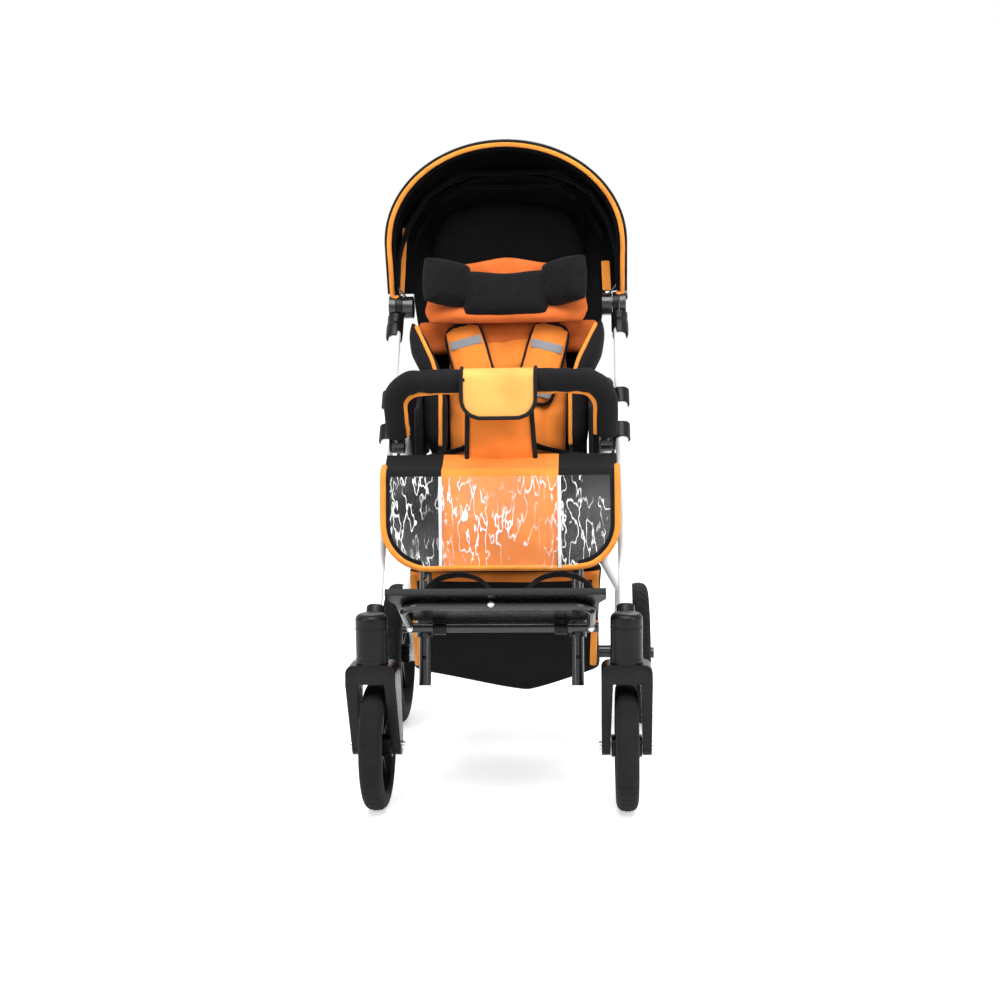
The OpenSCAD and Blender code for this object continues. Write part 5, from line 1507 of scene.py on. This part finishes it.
BOLT_X = 0.162
bolt_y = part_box("footrest_carriage")[0].y + 1.5 * MM
for side, s in SIDES:
    at = Vector((s * BOLT_X, bolt_y, joint_at("footplate_flip").z))
    keep(bolt_head(f"carriage_bolt_{side}", at, FORWARD, 9 * MM, 5 * MM), "carriage")
a, b = local_box("footplate_tube", FOOT)
at = FOOT @ Vector((-8 * MM, a.y + 1 * MM, (a.z + b.z) / 2))
keep(bolt_head("footplate_bolt", at, FOOT.col[1].xyz * -1, 8 * MM, 4 * MM), "footboard")


# Rings on the caster housings

HOUSING_R = 28 * MM
RING_BANDS = (("low", 0.2775, 4.5 * MM, 0.9 * MM), ("mid", 0.3345, 1.6 * MM, 0.5 * MM))
for side, _ in SIDES:
    axle = joint_at(f"caster_swivel_{side}")
    for name, z, tall, proud in RING_BANDS:
        inner, outer = HOUSING_R - proud, HOUSING_R + proud
        profile = [(inner, 0), (outer, 0.3 * proud), (outer, tall - 0.3 * proud), (inner, tall)]
        m = Matrix.Translation((axle.x, axle.y, z))
        keep(lathe(f"housing_ring_{name}_{side}", profile, m, plastic, 56), "chassis")


# Handle grip

a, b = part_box("handle_grip")
centre = (a + b) / 2
path = [Vector((mix(a.x, b.x, k / 60), centre.y, centre.z)) for k in range(61)]


def grip_waves(t):
    return 1.0 - 0.05 * bell((t * 6) % 1.0 - 0.5, 0.12)


grip = tube("handle_grip_foam", path, oval(b.y - a.y, b.y - a.y, 28), foam, size=grip_waves)
keep(grip, "handle", ["handle_grip"])


# Clips on the main tubes below the canopy

MAIN_TUBE_X = 0.222
MAIN_TUBE_TOP, MAIN_TUBE_FOOT = (0.0686, 0.9027), (-0.3195, 0.3443)
CLIP_DOWN = 0.060
CLIP_R = 15 * MM
for side, s in SIDES:
    top, foot = (Vector((s * MAIN_TUBE_X, *p)) for p in (MAIN_TUBE_TOP, MAIN_TUBE_FOOT))
    up = (top - foot).normalized()
    fore = up.cross(ACROSS).normalized()
    path = []
    for k in range(25):
        g = math.radians(mix(-120, 150, k / 24))
        path.append(top - up * CLIP_DOWN + (ACROSS * math.cos(g) * s + fore * math.sin(g)) * CLIP_R)
    trim(f"canopy_clip_{side}", path, oval(34 * MM, 5 * MM, 12, 3.5), plastic, "chassis", up=fore)


# Camera, light and floor

CAMERA_AT = Vector((0.1611, -2.7986, 0.8132))
CAMERA_YAW = 0.0633
CAMERA_PITCH = -0.1039
CAMERA_ROLL = -0.0153
CAMERA_LENS = 51.4
CAMERA_SENSOR = 36
camera = bpy.data.cameras.new("camera")
camera.lens = CAMERA_LENS
camera.sensor_width = CAMERA_SENSOR
camera_object = bpy.data.objects.new("camera", camera)
SCENE.collection.objects.link(camera_object)
level = math.cos(CAMERA_PITCH)
look = Vector((-math.sin(CAMERA_YAW) * level, math.cos(CAMERA_YAW) * level, math.sin(CAMERA_PITCH)))
right = Vector((math.cos(CAMERA_YAW), math.sin(CAMERA_YAW), 0))
up = right.cross(look)
rolled_right = right * math.cos(CAMERA_ROLL) + up * math.sin(CAMERA_ROLL)
rolled_up = up * math.cos(CAMERA_ROLL) - right * math.sin(CAMERA_ROLL)
camera_object.matrix_world = axes(rolled_right, rolled_up, -look, CAMERA_AT)
SCENE.camera = camera_object

LIGHTS = (
    ("top_light", (0.0, -1.5, 3.0), (0, 0, 0.6), (2.4, 2.0), 104),
    ("left_light", (-2.4, -2.2, 1.7), (0, -0.1, 0.6), (1.2, 2.0), 34),
    ("right_light", (2.4, -2.0, 1.9), (0, -0.1, 0.6), (1.2, 2.0), 48),
    ("back_light", (0.4, 2.4, 2.4), (0, 0, 0.8), (2.0, 1.2), 40),
)
for name, at, target, size, power in LIGHTS:
    light = bpy.data.lights.new(name, "AREA")
    light.shape = "RECTANGLE"
    light.size, light.size_y = size
    light.energy = power
    obj = bpy.data.objects.new(name, light)
    SCENE.collection.objects.link(obj)
    obj.location = at
    obj.rotation_euler = (Vector(target) - Vector(at)).to_track_quat("-Z", "Y").to_euler()


def background_rays(tree):
    """One for the rays that show the background: from the camera, off a gloss or through glass."""
    rays = add_node(tree, "LightPath")
    seen = rays.outputs["Is Camera Ray"]
    for kind in ("Is Glossy Ray", "Is Transmission Ray"):
        seen = add_node(tree, "Math", {0: seen, 1: rays.outputs[kind]}, operation="MAXIMUM").outputs[0]
    return seen


WHITE = (1, 1, 1, 1)
AMBIENT = 0.42
world = bpy.data.worlds.new("studio")
SCENE.world = world
world.use_nodes = True
tree = world.node_tree
ground = tree.nodes["Background"]
ground.inputs["Color"].default_value = WHITE
strength = add_node(tree, "MapRange", {"Value": background_rays(tree), "To Min": AMBIENT, "To Max": 1.0})
tree.links.new(strength.outputs[0], ground.inputs["Strength"])

FLOOR_SIZE = 60
FLOOR_GREY = (0.9, 0.9, 0.9)
FLOOR_ROUGH = 0.9
FLOOR_NEAR, FLOOR_FAR = 0.5, 2.2
GLOW_NEAR, GLOW_FAR = 0.44, 0.85
bpy.ops.mesh.primitive_plane_add(size=FLOOR_SIZE, location=(0, 0, 0))
floor = bpy.context.active_object
floor.name = "floor"
pale_floor = Finish("pale_floor", FLOOR_GREY, FLOOR_ROUGH, Emission_Color=WHITE)
tree = pale_floor.tree
position = add_node(tree, "NewGeometry").outputs["Position"]
away = add_node(tree, "VectorMath", {0: position}, operation="LENGTH").outputs["Value"]
reach = {"Value": away, "From Min": FLOOR_NEAR, "From Max": FLOOR_FAR}
reach.update({"To Min": GLOW_NEAR, "To Max": GLOW_FAR})
glow = add_node(tree, "MapRange", reach, interpolation_type="SMOOTHSTEP").outputs[0]
shown = pale_floor.sum("MULTIPLY", glow, background_rays(tree))
tree.links.new(shown, pale_floor.base.inputs["Emission Strength"])
floor.data.materials.append(pale_floor.mat)

SCENE.view_settings.view_transform = "Standard"
